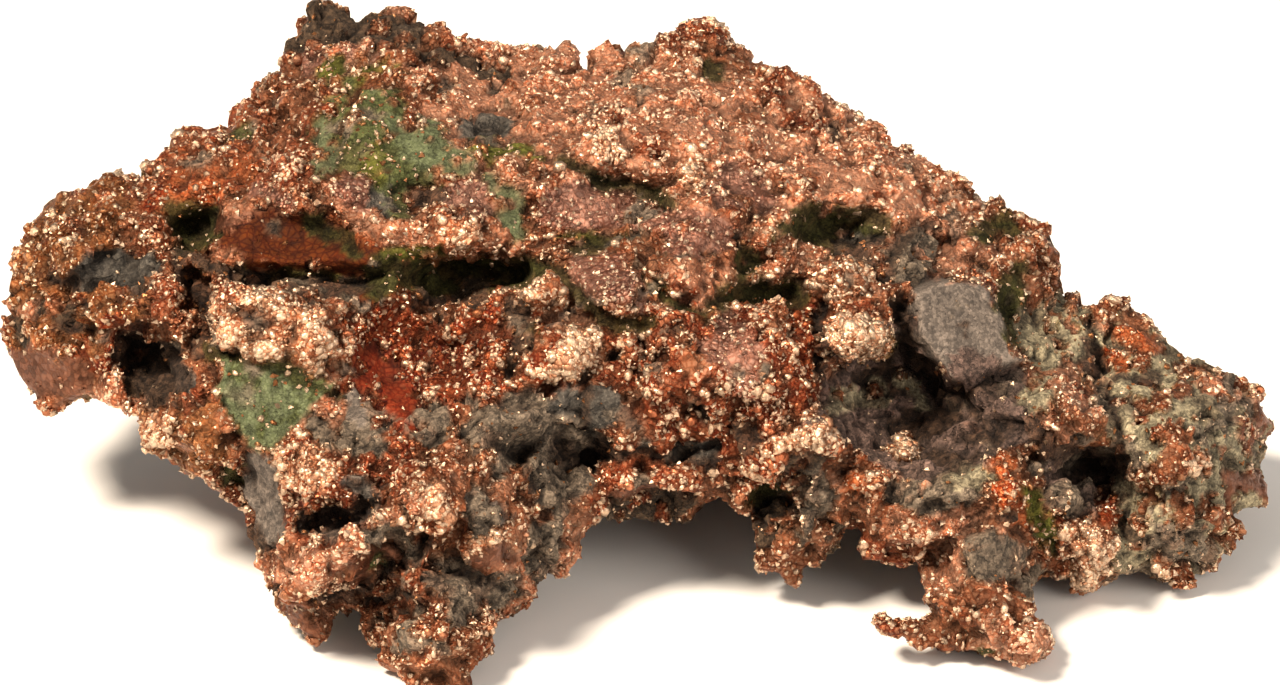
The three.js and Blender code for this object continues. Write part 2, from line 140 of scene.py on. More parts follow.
@dataclass(frozen=True)
class Noise:
    """A layered noise: its widest layer in millimetres, its seed and how many layers it has."""

    size_mm: float
    seed: int
    layers: int = 3

    def at(self, points: np.ndarray) -> np.ndarray:
        """Sum of value noises, each half as wide and half as strong as the one before."""
        return sum(
            value_noise(points, self.size_mm / 2.0**i, self.seed + 17 * i) * 0.5**i
            for i in range(self.layers)
        )


@dataclass(frozen=True)
class Blotches:
    """Where a layered noise is high: the noise, and the levels between which they fade in."""

    noise: Noise
    low: float
    high: float

    def at(self, points: np.ndarray) -> np.ndarray:
        """Their share at each place, from 0 to 1: the smooth step of the noise."""
        return smooth_step(self.low, self.high, self.noise.at(points))


@dataclass(frozen=True)
class Cells:
    """What a scatter of cell points gives at each place, distances in cells."""

    near: np.ndarray
    gap: np.ndarray
    height: np.ndarray
    slope: np.ndarray


def scattered_cells(points: np.ndarray, size: float, seed: int) -> Cells:
    """Looks up the nearest of points scattered one to a cell.

    Args:
        points: Places in millimetres, in rows of three.
        size: The width of a cell in millimetres.
        seed: Another seed gives another scatter.

    Returns:
        The nearest distance, how much farther the next one is, the nearest cell's own height
        from -0.5 to 0.5, and the height of a plane through its point with a slope of its own.
    """
    scaled = points / size
    cell = np.floor(scaled)
    first = np.full(len(points), 9.0)
    second = np.full(len(points), 9.0)
    owner = np.zeros_like(scaled)
    offset = np.zeros_like(scaled)
    for code in range(27):
        other = cell + np.array((code % 3 - 1, code // 3 % 3 - 1, code // 9 - 1))
        away = scaled - other - np.stack([cell_hash(other, seed + k) for k in (1, 2, 3)], axis=1)
        distance = np.linalg.norm(away, axis=1)
        nearer = distance < first
        second = np.where(nearer, first, np.minimum(second, distance))
        first = np.where(nearer, distance, first)
        owner[nearer] = other[nearer]
        offset[nearer] = away[nearer]
    lean = np.stack([cell_hash(owner, seed + k) - 0.5 for k in (5, 6, 7)], axis=1)
    slope = np.einsum("ij,ij->i", offset, lean)
    return Cells(first, second - first, cell_hash(owner, seed + 4) - 0.5, slope)


@dataclass(frozen=True)
class Scatter:
    """Points scattered one to a cell: the width of a cell in millimetres and the seed."""

    size_mm: float
    seed: int

    def at(self, points: np.ndarray) -> Cells:
        """What the scattered points give at each place."""
        return scattered_cells(points, self.size_mm, self.seed)


class Mineral(Enum):
    """What a patch of the surface is made of; the value is its material's place on the skin."""

    COPPER = 0
    OXIDE = 1
    MALACHITE = 2
    ROCK = 3


@dataclass(frozen=True)
class Tint:
    """One colour of the specimen: what it is, its sRGB colour, its grain cover and its relief."""

    mineral: Mineral
    colour: str
    grains: float
    relief: float


class Tone(Enum):
    """The colours seen on the specimen, and a dark tone for painted shade."""

    COPPER = Tint(Mineral.COPPER, "#8f6045", 0.5, 1.0)
    BRIGHT = Tint(Mineral.COPPER, "#b08163", 2.6, 0.5)
    PINK = Tint(Mineral.COPPER, "#b6866b", 0.45, 0.7)
    GOLDEN = Tint(Mineral.COPPER, "#8c5e3c", 0.4, 1.0)
    ORANGE = Tint(Mineral.COPPER, "#a05f3b", 0.5, 0.8)
    FIERY = Tint(Mineral.COPPER, "#905438", 0.95, 1.0)
    RED = Tint(Mineral.COPPER, "#864629", 0.8, 0.8)
    PLATE = Tint(Mineral.COPPER, "#714a37", 0.05, 0.3)
    MAUVE = Tint(Mineral.COPPER, "#8e6858", 0.5, 0.45)
    RUST = Tint(Mineral.OXIDE, "#522509", 0.02, 0.7)
    CUPRITE = Tint(Mineral.OXIDE, "#782f16", 0.05, 0.6)
    GREEN = Tint(Mineral.MALACHITE, "#5b603a", 0.3, 1.0)
    PALE_GREEN = Tint(Mineral.MALACHITE, "#6a7152", 0.07, 0.8)
    OLIVE = Tint(Mineral.MALACHITE, "#65652b", 0.3, 1.0)
    # Dark malachite; in crevices and hollows its darkness is partly painted shade.
    SHADED_MOSS = Tint(Mineral.MALACHITE, "#434221", 0.05, 1.0)
    GREY = Tint(Mineral.ROCK, "#7b6c5b", 0.04, 0.9)
    PALE_GREY = Tint(Mineral.ROCK, "#635950", 0.0, 0.25)
    SLATE = Tint(Mineral.ROCK, "#514b43", 0.03, 0.7)
    PURPLE = Tint(Mineral.ROCK, "#6c574d", 0.03, 0.8)
    GREY_GREEN = Tint(Mineral.ROCK, "#90856b", 0.1, 0.5)
    # Brown rock; on the face some hollows and crevices are painted in it as shade.
    BROWN = Tint(Mineral.ROCK, "#4c3b2b", 0.06, 0.8)
    # A dark tone painted where shade falls: in crevices and in the recess under the block.
    PAINTED_SHADE = Tint(Mineral.ROCK, "#473426", 0.0, 0.8)


# How the face is drawn, in millimetres from its middle. A form is an ellipse: across, up, half
# width, half height and turn in degrees. A knob is a form with a height.
Form = tuple[float, float, float, float, float]
Knob = tuple[float, float, float, float, float, float]
Line = tuple[tuple[float, float], ...]
Band = tuple[Tone, float, Line]
Crevice = tuple[Tone, float, float, Line]
Facet = tuple[Tone, float, float, Line]

# Where each colour lies on the face, broad areas first, in millimetres from its middle:
# across, up, half width, half height and turn in degrees.
PATCHES: tuple[tuple[Tone, tuple[Form, ...]], ...] = (
    (Tone.PINK, ((0, 17, 17, 7, 0), (18, 12, 9, 6, -30), (-6, 21, 12, 3, 0))),
    (Tone.GOLDEN, ((-45, 5, 6, 9, 0), (-36, -7, 4, 3, 0))),
    (Tone.FIERY, ((4, -2, 9.5, 6.5, 0), (-10, -1, 6, 5, 0), (-24, -12, 7, 5, 0),
                  (10, -9, 7, 2, 0))),
    (Tone.RED, ((-17.5, -1.0, 6.5, 5.6, -30), (-12.5, 1.2, 3.5, 2.5, 0), (-40.5, -0.6, 3, 2.6, 0),
                (12.9, 0.2, 1.4, 4.6, 4), (-35, 11.6, 4, 1.6, 10))),
    (Tone.BRIGHT, ((-28.7, 1.3, 5.8, 2.9, -22), (-7.8, 3.8, 2.4, 1.4, 12),
                   (-37.3, -6.3, 1.6, 1.8, 0), (17.4, 0.4, 2.5, 2.2, 20), (13.6, -7.0, 2.6, 2.2, 0),
                   (15.8, 4.6, 2.6, 1.5, 0), (35.1, -16, 1.9, 2.3, 0), (-15.6, -12.3, 1.4, 2.0, 5),
                   (-4.8, -0.6, 1.8, 2.8, 0), (20.6, -8.1, 1.0, 0.9, 0),
                   (-25.5, -9.7, 2.8, 1.4, -5), (-11.6, -15.2, 1.6, 1.9, 0))),
    (Tone.ORANGE, ((-33.5, 13.3, 3.8, 2.5, 20), (17.6, -11, 1.5, 3.4, 20),
                   (28.6, -11.6, 1.5, 3.5, 8), (-22.6, 8.3, 2.4, 1.3, -30))),
    (Tone.MAUVE, ((-5.2, 10.9, 3.9, 1.9, 0), (-13.3, 11.2, 1.7, 1.9, 0), (-3.1, 5.3, 2.6, 2.1, -20),
                  (4.5, 8.6, 3.2, 1.4, 0), (7.2, 12.2, 3, 1.9, 0), (7.2, -0.4, 1.5, 3.6, 35),
                  (-23.6, 22.4, 3, 1.3, 0), (-21.8, 11.4, 2.6, 1.0, -5))),
    (Tone.PLATE, ((-46.4, -2.2, 3.5, 2.3, -20), (-26, -21.4, 1.6, 1.6, 0),
                  (46.6, -11.4, 2.4, 1.2, 15), (-20.6, -17.6, 2.4, 1.2, 28))),
    (Tone.RUST, ((-27.3, 7.5, 8.2, 2.6, -14),)),
    (Tone.CUPRITE, ((-18.6, -4.2, 1.0, 3.2, 12), (-20.6, -1.8, 1.3, 1.6, 0),
                    (-15.4, 3.6, 2.2, 1.2, 0))),
    (Tone.PURPLE, ((21, -4.6, 7.8, 6.6, -20), (27.4, -4.4, 3.4, 4.6, 10),
                   (34.8, -10.4, 3.6, 3.2, 10), (23.5, -8.0, 5.5, 2.4, 0))),
    # Painted shade in the recess under the block.
    (Tone.PAINTED_SHADE, ((19.6, -3.4, 1.8, 1.1, -30), (23.4, -6.4, 2.4, 1.2, 20), (20.8, -7.0, 1.5, 1.2, 0),
                 (26.8, -7.2, 1.9, 1.0, 10), (17.2, -3.2, 1.3, 0.9, 0), (24.6, -9.0, 1.6, 0.8, 0))),
    (Tone.GREY_GREEN, ((43, -8, 7.5, 9.5, 0), (32.4, 1, 3.6, 3, 0), (38.4, -3, 3, 5, 0),
                       (41, -15.4, 5, 3.2, 0))),
    # Brown rock, and painted shade in some of the hollows.
    (Tone.BROWN, ((-23, 25.2, 5.2, 1.3, 0), (12.2, -12.4, 3.6, 3.6, 0), (1.5, -12.9, 4.4, 1.5, 0),
                  (-38.3, -2.2, 2.8, 2.4, 0), (-44.6, 2.8, 2.4, 0.9, 0))),
    (Tone.GREY, ((-8, -8, 5.4, 4.0, -20), (22.5, -11.6, 4, 1.6, 0), (27.5, -16.6, 2.7, 2, -10),
                 (-12.5, -18.8, 4, 1.7, -15), (-7.9, -16.3, 1.6, 2.3, 0),
                 (-21.5, -6.4, 2.3, 1.6, 0), (-13.5, -21, 1.6, 1.4, 0), (-18.4, -22, 1.4, 1.8, 0),
                 (21.4, 7, 1.8, 2.2, 0), (13.9, -12.1, 2, 2.3, 0), (9.6, -2.4, 1.0, 0.8, 0),
                 (-16.2, -6.6, 1.8, 1.3, 0), (30.6, -18.6, 1.6, 1.6, 0),
                 (33.2, -12.2, 1.9, 1.4, 0))),
    (Tone.PALE_GREY, ((25, 0.9, 3.6, 3.1, -40), (-29.4, -11.4, 1.4, 2.3, 15),
                      (-21.2, -11.5, 1.6, 1.1, -15), (-12.2, -12.9, 1.7, 1.2, 0),
                      (-19.4, -15, 1.5, 0.8, 20), (-35.4, -3, 1.1, 1.5, 0))),
    (Tone.SLATE, ((-41, 5.5, 3.2, 1.6, 0), (3.9, -8.3, 1.9, 1.3, 0), (-2.6, -4.8, 1.8, 1.6, 0),
                  (-12.2, 17, 1.8, 1.3, 0), (-19.6, 11.6, 1.6, 1.4, 0), (17.6, 8.2, 1.7, 1.3, 0),
                  (0.8, -8.4, 1.0, 0.8, 0), (-4.4, -8.8, 2.2, 1.4, -10))),
    (Tone.COPPER, ((33.4, -5.4, 2.5, 2.5, 0), (43.4, -9.6, 1.6, 1.1, 0), (40.8, -10.2, 1.8, 1.2, 0),
                   (45.6, -14.6, 1.7, 1.3, 0), (11.9, -17.2, 1.7, 2.4, 0),
                   (37, -1.3, 1.5, 0.8, -25), (24.9, 3.2, 0.7, 0.8, 0), (45.2, -3.4, 1.8, 0.7, -30),
                   (36.6, -12.9, 0.7, 1.8, 0), (30.3, 2.4, 0.8, 1.6, 0), (39.6, 0.2, 1.4, 0.7, -20),
                   (41.6, -17.8, 1.4, 0.9, 0))),
    (Tone.GREEN, ((-21.4, 16.4, 3.6, 5.4, 25), (-17, 14.8, 3.4, 2.4, -20),
                  (-31.5, 16.3, 1.8, 1.0, 10), (31.5, -14.8, 1.3, 1.6, 0),
                  (-20.2, -17.5, 0.9, 0.9, 0), (-31.6, -10.2, 1.5, 1.1, 0),
                  (26.6, -23.6, 0.9, 0.7, 0))),
    (Tone.PALE_GREEN, ((-31.2, -3.8, 1.9, 1.2, -15), (-28.8, -7.0, 1.5, 1.5, 10),
                       (-10.3, 10.6, 1.2, 1.9, 0), (-24.8, 14.6, 1.0, 1.7, 0),
                       (-16.6, 15.6, 2.2, 1.5, -20), (-20.4, 18.6, 1.2, 1.0, 0))),
    (Tone.OLIVE, ((-22.4, 21.2, 2.6, 1.1, 0), (-10.2, 15, 2.6, 0.8, 0), (30.7, -12.4, 0.8, 0.9, 0),
                  (-3, 7.9, 4.2, 0.6, 5), (19.4, -0.6, 0.8, 1.3, 0), (-16.5, 6.9, 3.4, 0.7, 0),
                  (-11.4, 6.6, 1.6, 0.6, -10))),
    # Dark malachite in the crevices and hollows, its darkness partly painted shade.
    (Tone.SHADED_MOSS, ((-35.3, 8.7, 2.7, 1.5, 10), (-26, 5.0, 8.6, 0.8, -3), (-14.2, 5.1, 6.2, 1.8, 3),
                 (6.2, 21.8, 1.7, 1.3, 0), (28.6, 8.5, 2.1, 1.4, 0), (29, 4, 1.3, 2.8, 0),
                 (15.2, 8.4, 3.6, 1.9, -8), (9.4, 3.6, 3.8, 1.2, 8), (8.8, 6.2, 1.2, 1.3, 0),
                 (2.2, 3.4, 2.4, 0.6, -28), (-2.6, 12.4, 1.9, 0.9, -10), (1.2, 11.4, 1.3, 0.8, -20),
                 (-24.6, 8.6, 1.7, 0.9, -25), (10.3, -11.6, 2.2, 1.3, 0))),
)

# Bands of colour on the face: the tone, half width and the line it follows, in millimetres.
BANDS: tuple[Band, ...] = (
    (Tone.MAUVE, 1.3, ((-5.5, 11.2), (-2.5, 10.2), (1.0, 10.0))),
    (Tone.MAUVE, 1.2, ((-14.3, 11.6), (-13.2, 10.6))),
    (Tone.MAUVE, 1.1, ((-4.0, 6.0), (-2.0, 4.6), (-0.5, 4.0))),
    (Tone.MAUVE, 0.9, ((5.3, 0.0), (7.0, -1.6), (8.6, -3.6))),
    (Tone.MAUVE, 0.8, ((-29.6, 12.0), (-27.6, 11.0))),
    (Tone.PLATE, 0.7, ((-33.0, 9.4), (-30.5, 9.6))),
    (Tone.PLATE, 0.5, ((-2.0, -11.8), (1.0, -11.0))),
    (Tone.PLATE, 1.0, ((-12.0, -16.8), (-11.0, -16.4))),
    (Tone.PINK, 1.0, ((-26.8, -18.0), (-23.0, -16.6), (-20.0, -14.4), (-17.0, -12.6))),
    (Tone.GREEN, 1.5, ((-23.5, 20.5), (-22.8, 18.5), (-21.8, 16.8), (-20.0, 16.5))),
    (Tone.GREEN, 0.8, ((-20.2, 19.6), (-18.8, 18.8))),
    (Tone.PALE_GREEN, 0.8, ((-24.8, 16.5), (-25.2, 14.4))),
    (Tone.PALE_GREEN, 1.2, ((-19.0, 16.6), (-17.4, 15.6), (-16.0, 14.8), (-14.4, 14.0))),
    (Tone.GREEN, 1.0, ((-20.2, 12.4), (-19.2, 11.2), (-18.8, 10.2))),
    (Tone.GREEN, 0.9, ((-28.4, -1.9), (-26.0, -2.6), (-24.6, -3.4))),
    (Tone.GREEN, 0.6, ((-25.6, -4.2), (-27.0, -5.6))),
    (Tone.GREEN, 0.5, ((-31.6, -2.2), (-29.8, -3.0))),
    (Tone.GREEN, 0.5, ((-28.9, -5.2), (-29.5, -6.8))),
    # A dark malachite spot, darkened as painted shade.
    (Tone.SHADED_MOSS, 0.6, ((-7.9, 1.0), (-8.1, -0.6))),
    (Tone.OLIVE, 0.5, ((-19.4, 6.7), (-16.5, 7.0), (-13.4, 6.9))),
    (Tone.OLIVE, 0.35, ((-18.4, 4.4), (-16.8, 4.0))),
    (Tone.OLIVE, 0.8, ((-20.8, 14.6), (-20.4, 12.8))),
    (Tone.OLIVE, 0.7, ((-24.6, 20.8), (-23.0, 21.8), (-21.4, 22.2))),
    (Tone.OLIVE, 0.5, ((-13.4, 15.4), (-11.0, 15.2), (-8.6, 15.2))),
    (Tone.PALE_GREEN, 0.9, ((-11.0, 12.6), (-10.2, 10.4), (-9.6, 8.8))),
    (Tone.BROWN, 1.2, ((-27.4, 24.2), (-25.4, 25.4), (-22.8, 25.0), (-20.0, 25.0), (-18.4, 24.4))),
    # Painted shade, in brown.
    (Tone.BROWN, 0.7, ((-17.8, 22.6), (-14.5, 22.3), (-11.0, 21.2))),
    (Tone.PALE_GREY, 1.0, ((-30.0, -9.3), (-29.0, -11.0), (-28.6, -13.5), (-28.4, -14.6))),
    (Tone.GREY, 2.1, ((-11.0, -7.2), (-8.0, -7.0), (-6.4, -9.0), (-6.5, -11.6))),
    (Tone.SLATE, 1.2, ((-5.5, -4.6), (-3.0, -5.8), (-2.0, -5.3))),
    (Tone.GREY, 1.1, ((-15.8, -18.6), (-13.0, -18.8), (-11.0, -19.4))),
    (Tone.GREY, 0.9, ((-12.6, -12.0), (-12.4, -14.0))),
    (Tone.GREY, 1.1, ((-8.2, -14.8), (-7.8, -17.2))),
    (Tone.GREY, 0.8, ((-20.6, -14.9), (-18.6, -14.8), (-17.8, -16.0))),
    (Tone.GREY, 0.9, ((-25.0, -6.4), (-22.8, -7.6), (-20.4, -8.2))),
    (Tone.PALE_GREY, 0.7, ((-22.2, -4.4), (-21.6, -6.4))),
    (Tone.PALE_GREY, 1.4, ((22.2, 3.6), (24.5, 2.6), (26.4, 2.6))),
    (Tone.PALE_GREY, 1.5, ((23.6, 1.0), (24.8, -1.2))),
    (Tone.PALE_GREY, 0.9, ((26.4, 0.6), (28.6, -1.0))),
    (Tone.GREY, 1.2, ((21.3, 7.4), (20.9, 5.6))),
    (Tone.PURPLE, 1.6, ((25.5, -1.8), (27.8, -2.8), (28.6, -4.6))),
    (Tone.GREY_GREEN, 0.6, ((20.6, -3.0), (22.4, -4.6))),
    (Tone.GREY_GREEN, 1.1, ((15.6, -4.4), (18.6, -4.6))),
    (Tone.GREY, 0.9, ((19.5, -11.5), (21.5, -12.3), (24.0, -12.0))),
    (Tone.GREY_GREEN, 0.9, ((24.5, -10.6), (26.5, -10.8))),
    (Tone.GREY_GREEN, 1.1, ((30.6, 1.6), (31.8, -0.6), (30.8, -4.4))),
    (Tone.OLIVE, 0.9, ((30.4, -12.4), (31.4, -14.4), (31.6, -15.6))),
    (Tone.PINK, 0.9, ((32.6, -2.6), (34.0, -4.4), (34.8, -4.8))),
    (Tone.PINK, 0.9, ((31.0, -6.0), (33.0, -7.4), (34.0, -7.0))),
    (Tone.ORANGE, 0.9, ((28.3, -9.4), (28.5, -11.0), (28.8, -13.0))),
    (Tone.COPPER, 0.8, ((17.0, -9.0), (18.0, -11.0), (18.4, -13.0))),
    (Tone.COPPER, 0.9, ((40.5, -11.0), (41.5, -9.0), (42.0, -7.5))),
    (Tone.COPPER, 0.6, ((42.0, -12.0), (42.4, -14.0))),
    (Tone.PINK, 0.7, ((45.0, -3.6), (47.6, -4.6))),
    (Tone.ORANGE, 0.8, ((38.4, 0.6), (40.0, -0.4))),
    (Tone.ORANGE, 0.7, ((36.6, -1.2), (37.8, -1.9))),
    (Tone.PLATE, 0.9, ((46.6, -10.8), (48.8, -11.2))),
    (Tone.PLATE, 0.8, ((48.6, -5.6), (49.0, -6.6))),
    (Tone.GREY, 1.3, ((40.6, -15.6), (43.4, -16.0))),
    (Tone.RED, 0.7, ((36.6, -12.0), (36.6, -13.6))),
    (Tone.BRIGHT, 1.1, ((34.4, -14.6), (35.6, -15.4), (35.4, -17.4))),
    (Tone.BRIGHT, 0.8, ((43.0, -9.4), (44.0, -9.2))),
    (Tone.BRIGHT, 1.5, ((16.8, 0.9), (17.6, 0.2))),
    (Tone.BRIGHT, 0.8, ((20.4, -8.1), (20.8, -8.1))),
    (Tone.BRIGHT, 1.0, ((-14.6, 8.4), (-13.0, 8.2))),
    (Tone.BRIGHT, 0.8, ((-4.4, -0.6), (-7.0, -2.6))),
    (Tone.BRIGHT, 0.9, ((4.4, 13.8), (4.0, 12.6))),
    (Tone.BRIGHT, 0.9, ((-3.4, 16.4), (-2.0, 15.4))),
    (Tone.BROWN, 0.7, ((-49.4, 3.6), (-49.2, 1.6), (-48.4, 0.4))),
)

# Crevices of the face: the tone in them, half width, depth and the line, in millimetres. The
# darkest tone and the brown in them are painted shade; the moss is partly painted shade.
CREVICES: tuple[Crevice, ...] = (
    (Tone.PAINTED_SHADE, 0.6, 2.0, ((-36.0, 7.0), (-31.0, 5.1), (-27.0, 4.5), (-20.0, 4.4))),
    (Tone.SHADED_MOSS, 1.4, 1.3, ((-20.0, 5.3), (-16.0, 5.2), (-12.0, 5.6), (-9.4, 5.4))),
    (Tone.PAINTED_SHADE, 0.35, 0.9, ((-27.5, 4.5), (-25.5, 3.0), (-24.4, 2.7))),
    (Tone.PAINTED_SHADE, 0.35, 0.8, ((-32.0, 2.4), (-30.3, 2.0), (-29.0, 1.4))),
    (Tone.PAINTED_SHADE, 0.8, 1.6, ((-36.4, 5.8), (-34.9, 4.3), (-34.0, 2.6), (-33.6, 1.2), (-34.6, -0.6))),
    (Tone.PAINTED_SHADE, 1.8, 2.0, ((-39.3, -0.4), (-37.5, -2.0), (-37.0, -3.6))),
    (Tone.SHADED_MOSS, 0.5, 0.9, ((-33.5, -0.9), (-30.0, -1.4), (-27.0, -2.3), (-25.0, -3.5),
                           (-23.4, -4.4))),
    (Tone.PAINTED_SHADE, 0.6, 1.0, ((-45.4, 1.3), (-43.2, 1.2))),
    (Tone.PAINTED_SHADE, 0.5, 0.9, ((-46.0, 5.2), (-44.4, 4.9))),
    (Tone.SHADED_MOSS, 1.2, 1.4, ((-36.4, 9.6), (-34.2, 9.6), (-35.4, 8.2))),
    (Tone.SHADED_MOSS, 0.7, 0.5, ((-25.4, 8.9), (-23.2, 8.2), (-22.5, 7.2))),
    (Tone.SLATE, 1.1, 0.5, ((-25.8, -13.6), (-24.0, -14.0), (-22.4, -13.2), (-20.8, -12.4))),
    (Tone.PAINTED_SHADE, 0.35, 0.8, ((-22.3, -10.8), (-20.5, -10.9), (-19.8, -11.5))),
    (Tone.PAINTED_SHADE, 0.6, 0.6, ((-30.0, -14.6), (-29.2, -16.2))),
    (Tone.PAINTED_SHADE, 0.4, 1.0, ((-28.5, -19.0), (-26.5, -19.8), (-23.5, -20.0), (-20.5, -19.8),
                           (-17.0, -19.5))),
    (Tone.PAINTED_SHADE, 0.35, 0.8, ((-16.0, -17.8), (-13.0, -17.8), (-11.2, -18.8))),
    (Tone.PAINTED_SHADE, 0.4, 0.9, ((-18.0, -12.6), (-17.6, -13.6))),
    (Tone.PAINTED_SHADE, 0.5, 1.3, ((-24.5, -19.6), (-20.5, -18.3), (-17.4, -16.4), (-16.4, -14.8))),
    (Tone.PAINTED_SHADE, 1.0, 1.8, ((-6.0, -8.6), (-4.0, -9.4), (-2.6, -8.6))),
    (Tone.PAINTED_SHADE, 0.5, 1.2, ((-4.4, -6.5), (-4.0, -4.2), (-3.8, -2.6))),
    (Tone.PAINTED_SHADE, 0.3, 0.8, ((-9.0, -8.2), (-8.6, -10.3), (-7.4, -11.8))),
    (Tone.PAINTED_SHADE, 0.3, 0.8, ((-8.0, -15.4), (-7.6, -17.0))),
    (Tone.SHADED_MOSS, 0.5, 0.5, ((-5.2, 7.3), (-3.5, 7.7), (-1.0, 8.0))),
    (Tone.SHADED_MOSS, 0.55, 1.1, ((-8.6, 6.4), (-6.3, 5.6), (-5.4, 4.4), (-4.6, 3.0), (-3.0, 1.8),
                            (0.5, 1.3))),
    (Tone.SHADED_MOSS, 0.45, 0.9, ((0.3, 4.9), (1.4, 3.9), (3.0, 3.0), (5.2, 1.9))),
    (Tone.SHADED_MOSS, 1.0, 1.6, ((5.6, 3.0), (7.5, 3.9), (10.0, 3.8), (12.2, 3.8))),
    (Tone.SHADED_MOSS, 0.55, 0.9, ((8.2, 7.0), (9.0, 6.2), (7.8, 5.0))),
    (Tone.RED, 0.9, 0.4, ((12.7, 2.4), (12.7, 0.0), (12.4, -2.4), (12.7, -4.2))),
    (Tone.PAINTED_SHADE, 0.7, 1.6, ((14.0, 2.5), (13.9, 0.0), (14.0, -2.6))),
    (Tone.BROWN, 0.9, 1.0, ((-9.8, 2.6), (-8.8, 1.8), (-9.0, 0.0), (-9.8, -2.0))),
    (Tone.BROWN, 1.3, 0.9, ((-17.0, 3.2), (-14.6, 2.6), (-12.8, 3.6))),
    (Tone.PAINTED_SHADE, 0.5, 1.0, ((-3.5, -8.3), (-1.5, -8.8), (1.0, -8.6), (3.0, -9.4), (6.0, -9.3))),
    (Tone.PAINTED_SHADE, 0.4, 0.8, ((2.6, 0.6), (3.6, 0.2))),
    (Tone.PAINTED_SHADE, 0.6, 0.8, ((4.4, -4.7), (5.2, -5.6))),
    (Tone.PAINTED_SHADE, 0.8, 1.0, ((8.0, -6.8), (8.8, -7.4))),
    (Tone.SHADED_MOSS, 0.6, 1.3, ((-5.8, 14.2), (-4.3, 13.0), (-2.8, 12.3), (-1.0, 12.5), (0.8, 11.6),
                           (2.2, 10.9))),
    (Tone.PAINTED_SHADE, 0.7, 1.0, ((-17.4, 10.8), (-15.8, 11.4))),
    (Tone.PAINTED_SHADE, 0.4, 0.8, ((15.2, 17.0), (15.3, 15.6))),
    (Tone.SHADED_MOSS, 1.0, 1.2, ((12.5, 8.5), (14.5, 8.9), (17.0, 9.7), (19.0, 9.2))),
    (Tone.PAINTED_SHADE, 0.8, 1.6, ((15.6, 7.2), (17.4, 6.8), (18.6, 7.4))),
    (Tone.PAINTED_SHADE, 0.5, 1.0, ((18.4, 5.4), (19.6, 6.2), (20.4, 8.8), (22.8, 8.9))),
    (Tone.PAINTED_SHADE, 0.7, 1.9, ((20.0, 3.2), (20.6, 1.0), (21.6, -1.0), (22.8, -2.6), (24.0, -4.0))),
    (Tone.PAINTED_SHADE, 0.7, 1.6, ((24.4, -4.0), (26.0, -4.0), (28.0, -3.2))),
    (Tone.PAINTED_SHADE, 0.5, 1.0, ((25.6, -4.6), (26.6, -6.0), (28.6, -6.0))),
    (Tone.PAINTED_SHADE, 0.35, 0.8, ((25.1, 1.1), (25.4, 0.9))),
    (Tone.SHADED_MOSS, 0.8, 1.0, ((28.8, 5.0), (28.6, 2.5), (28.9, 0.6))),
    (Tone.SHADED_MOSS, 0.8, 0.9, ((26.4, 8.7), (28.6, 9.2))),
    (Tone.PAINTED_SHADE, 0.6, 1.4, ((35.2, 1.4), (35.4, -1.0), (36.0, -3.4), (36.6, -5.0), (37.4, -7.0),
                           (37.7, -9.4))),
    (Tone.PAINTED_SHADE, 1.3, 1.4, ((33.4, -9.2), (36.8, -9.4))),
    (Tone.PAINTED_SHADE, 0.5, 0.7, ((37.2, -3.0), (40.5, -2.6))),
    (Tone.PAINTED_SHADE, 0.5, 1.0, ((30.6, -6.2), (31.8, -8.5))),
    (Tone.PAINTED_SHADE, 0.8, 0.7, ((22.5, -8.7), (25.2, -9.1))),
    (Tone.PAINTED_SHADE, 0.4, 1.0, ((15.5, -10.0), (17.0, -10.2))),
    (Tone.PAINTED_SHADE, 0.45, 0.8, ((27.2, -14.0), (28.6, -13.2))),
    (Tone.PAINTED_SHADE, 0.6, 0.7, ((37.6, -14.0), (38.6, -15.5))),
)

# Flat faces of blocks and plates: the tone, how far it stands out, how flat it is (1 is a true
# plane) and the corners of its outline on the face, in millimetres.
FACETS: tuple[Facet, ...] = (
    (Tone.PALE_GREY, 0.0, 1.0, ((20.9, 4.0), (23.5, 4.9), (26.9, 4.3), (28.4, 1.9), (28.9, -0.3),
                                (30.0, -1.5), (27.6, -2.3), (25.2, -3.2), (24.2, -3.0),
                                (22.2, 0.2))),
    (Tone.GREY, 0.25, 0.85, ((24.8, -15.5), (27.0, -14.6), (29.4, -15.1), (30.3, -17.0),
                             (28.6, -18.5), (25.8, -17.9))),
    (Tone.PALE_GREEN, 0.1, 0.8, ((-32.9, -1.0), (-28.0, -1.7), (-23.6, -3.2), (-25.0, -4.8),
                                 (-28.4, -7.8), (-30.6, -7.8), (-32.2, -4.4))),
    (Tone.PLATE, 0.1, 0.8, ((-49.9, -0.6), (-47.0, -0.6), (-43.6, -3.2), (-44.6, -4.4),
                            (-47.2, -4.6), (-49.4, -2.4))),
    (Tone.MAUVE, 0.1, 0.6, ((-8.4, 10.2), (-6.4, 12.3), (-2.6, 11.8), (-1.4, 9.6), (-4.6, 8.6),
                            (-7.6, 8.8))),
    (Tone.MAUVE, 0.15, 0.6, ((-5.8, 7.0), (-2.2, 6.8), (0.2, 4.6), (-0.8, 3.0), (-3.6, 3.6),
                             (-5.4, 5.2))),
    (Tone.MAUVE, 0.1, 0.6, ((4.6, 0.6), (6.4, 0.8), (9.4, -3.4), (8.4, -4.4), (6.6, -2.6))),
    (Tone.GREY, 0.1, 0.5, ((-12.0, -5.6), (-8.6, -5.4), (-7.6, -7.6), (-9.4, -9.4), (-11.6, -8.2))),
    (Tone.SLATE, 0.15, 0.6, ((-4.6, -4.4), (-2.0, -3.8), (-0.8, -5.6), (-2.6, -7.0), (-4.2, -6.2))),
)

# Tones whose patches have no holes in them.
WHOLE_TONES = (Tone.PURPLE, Tone.PALE_GREY, Tone.SLATE, Tone.PAINTED_SHADE)

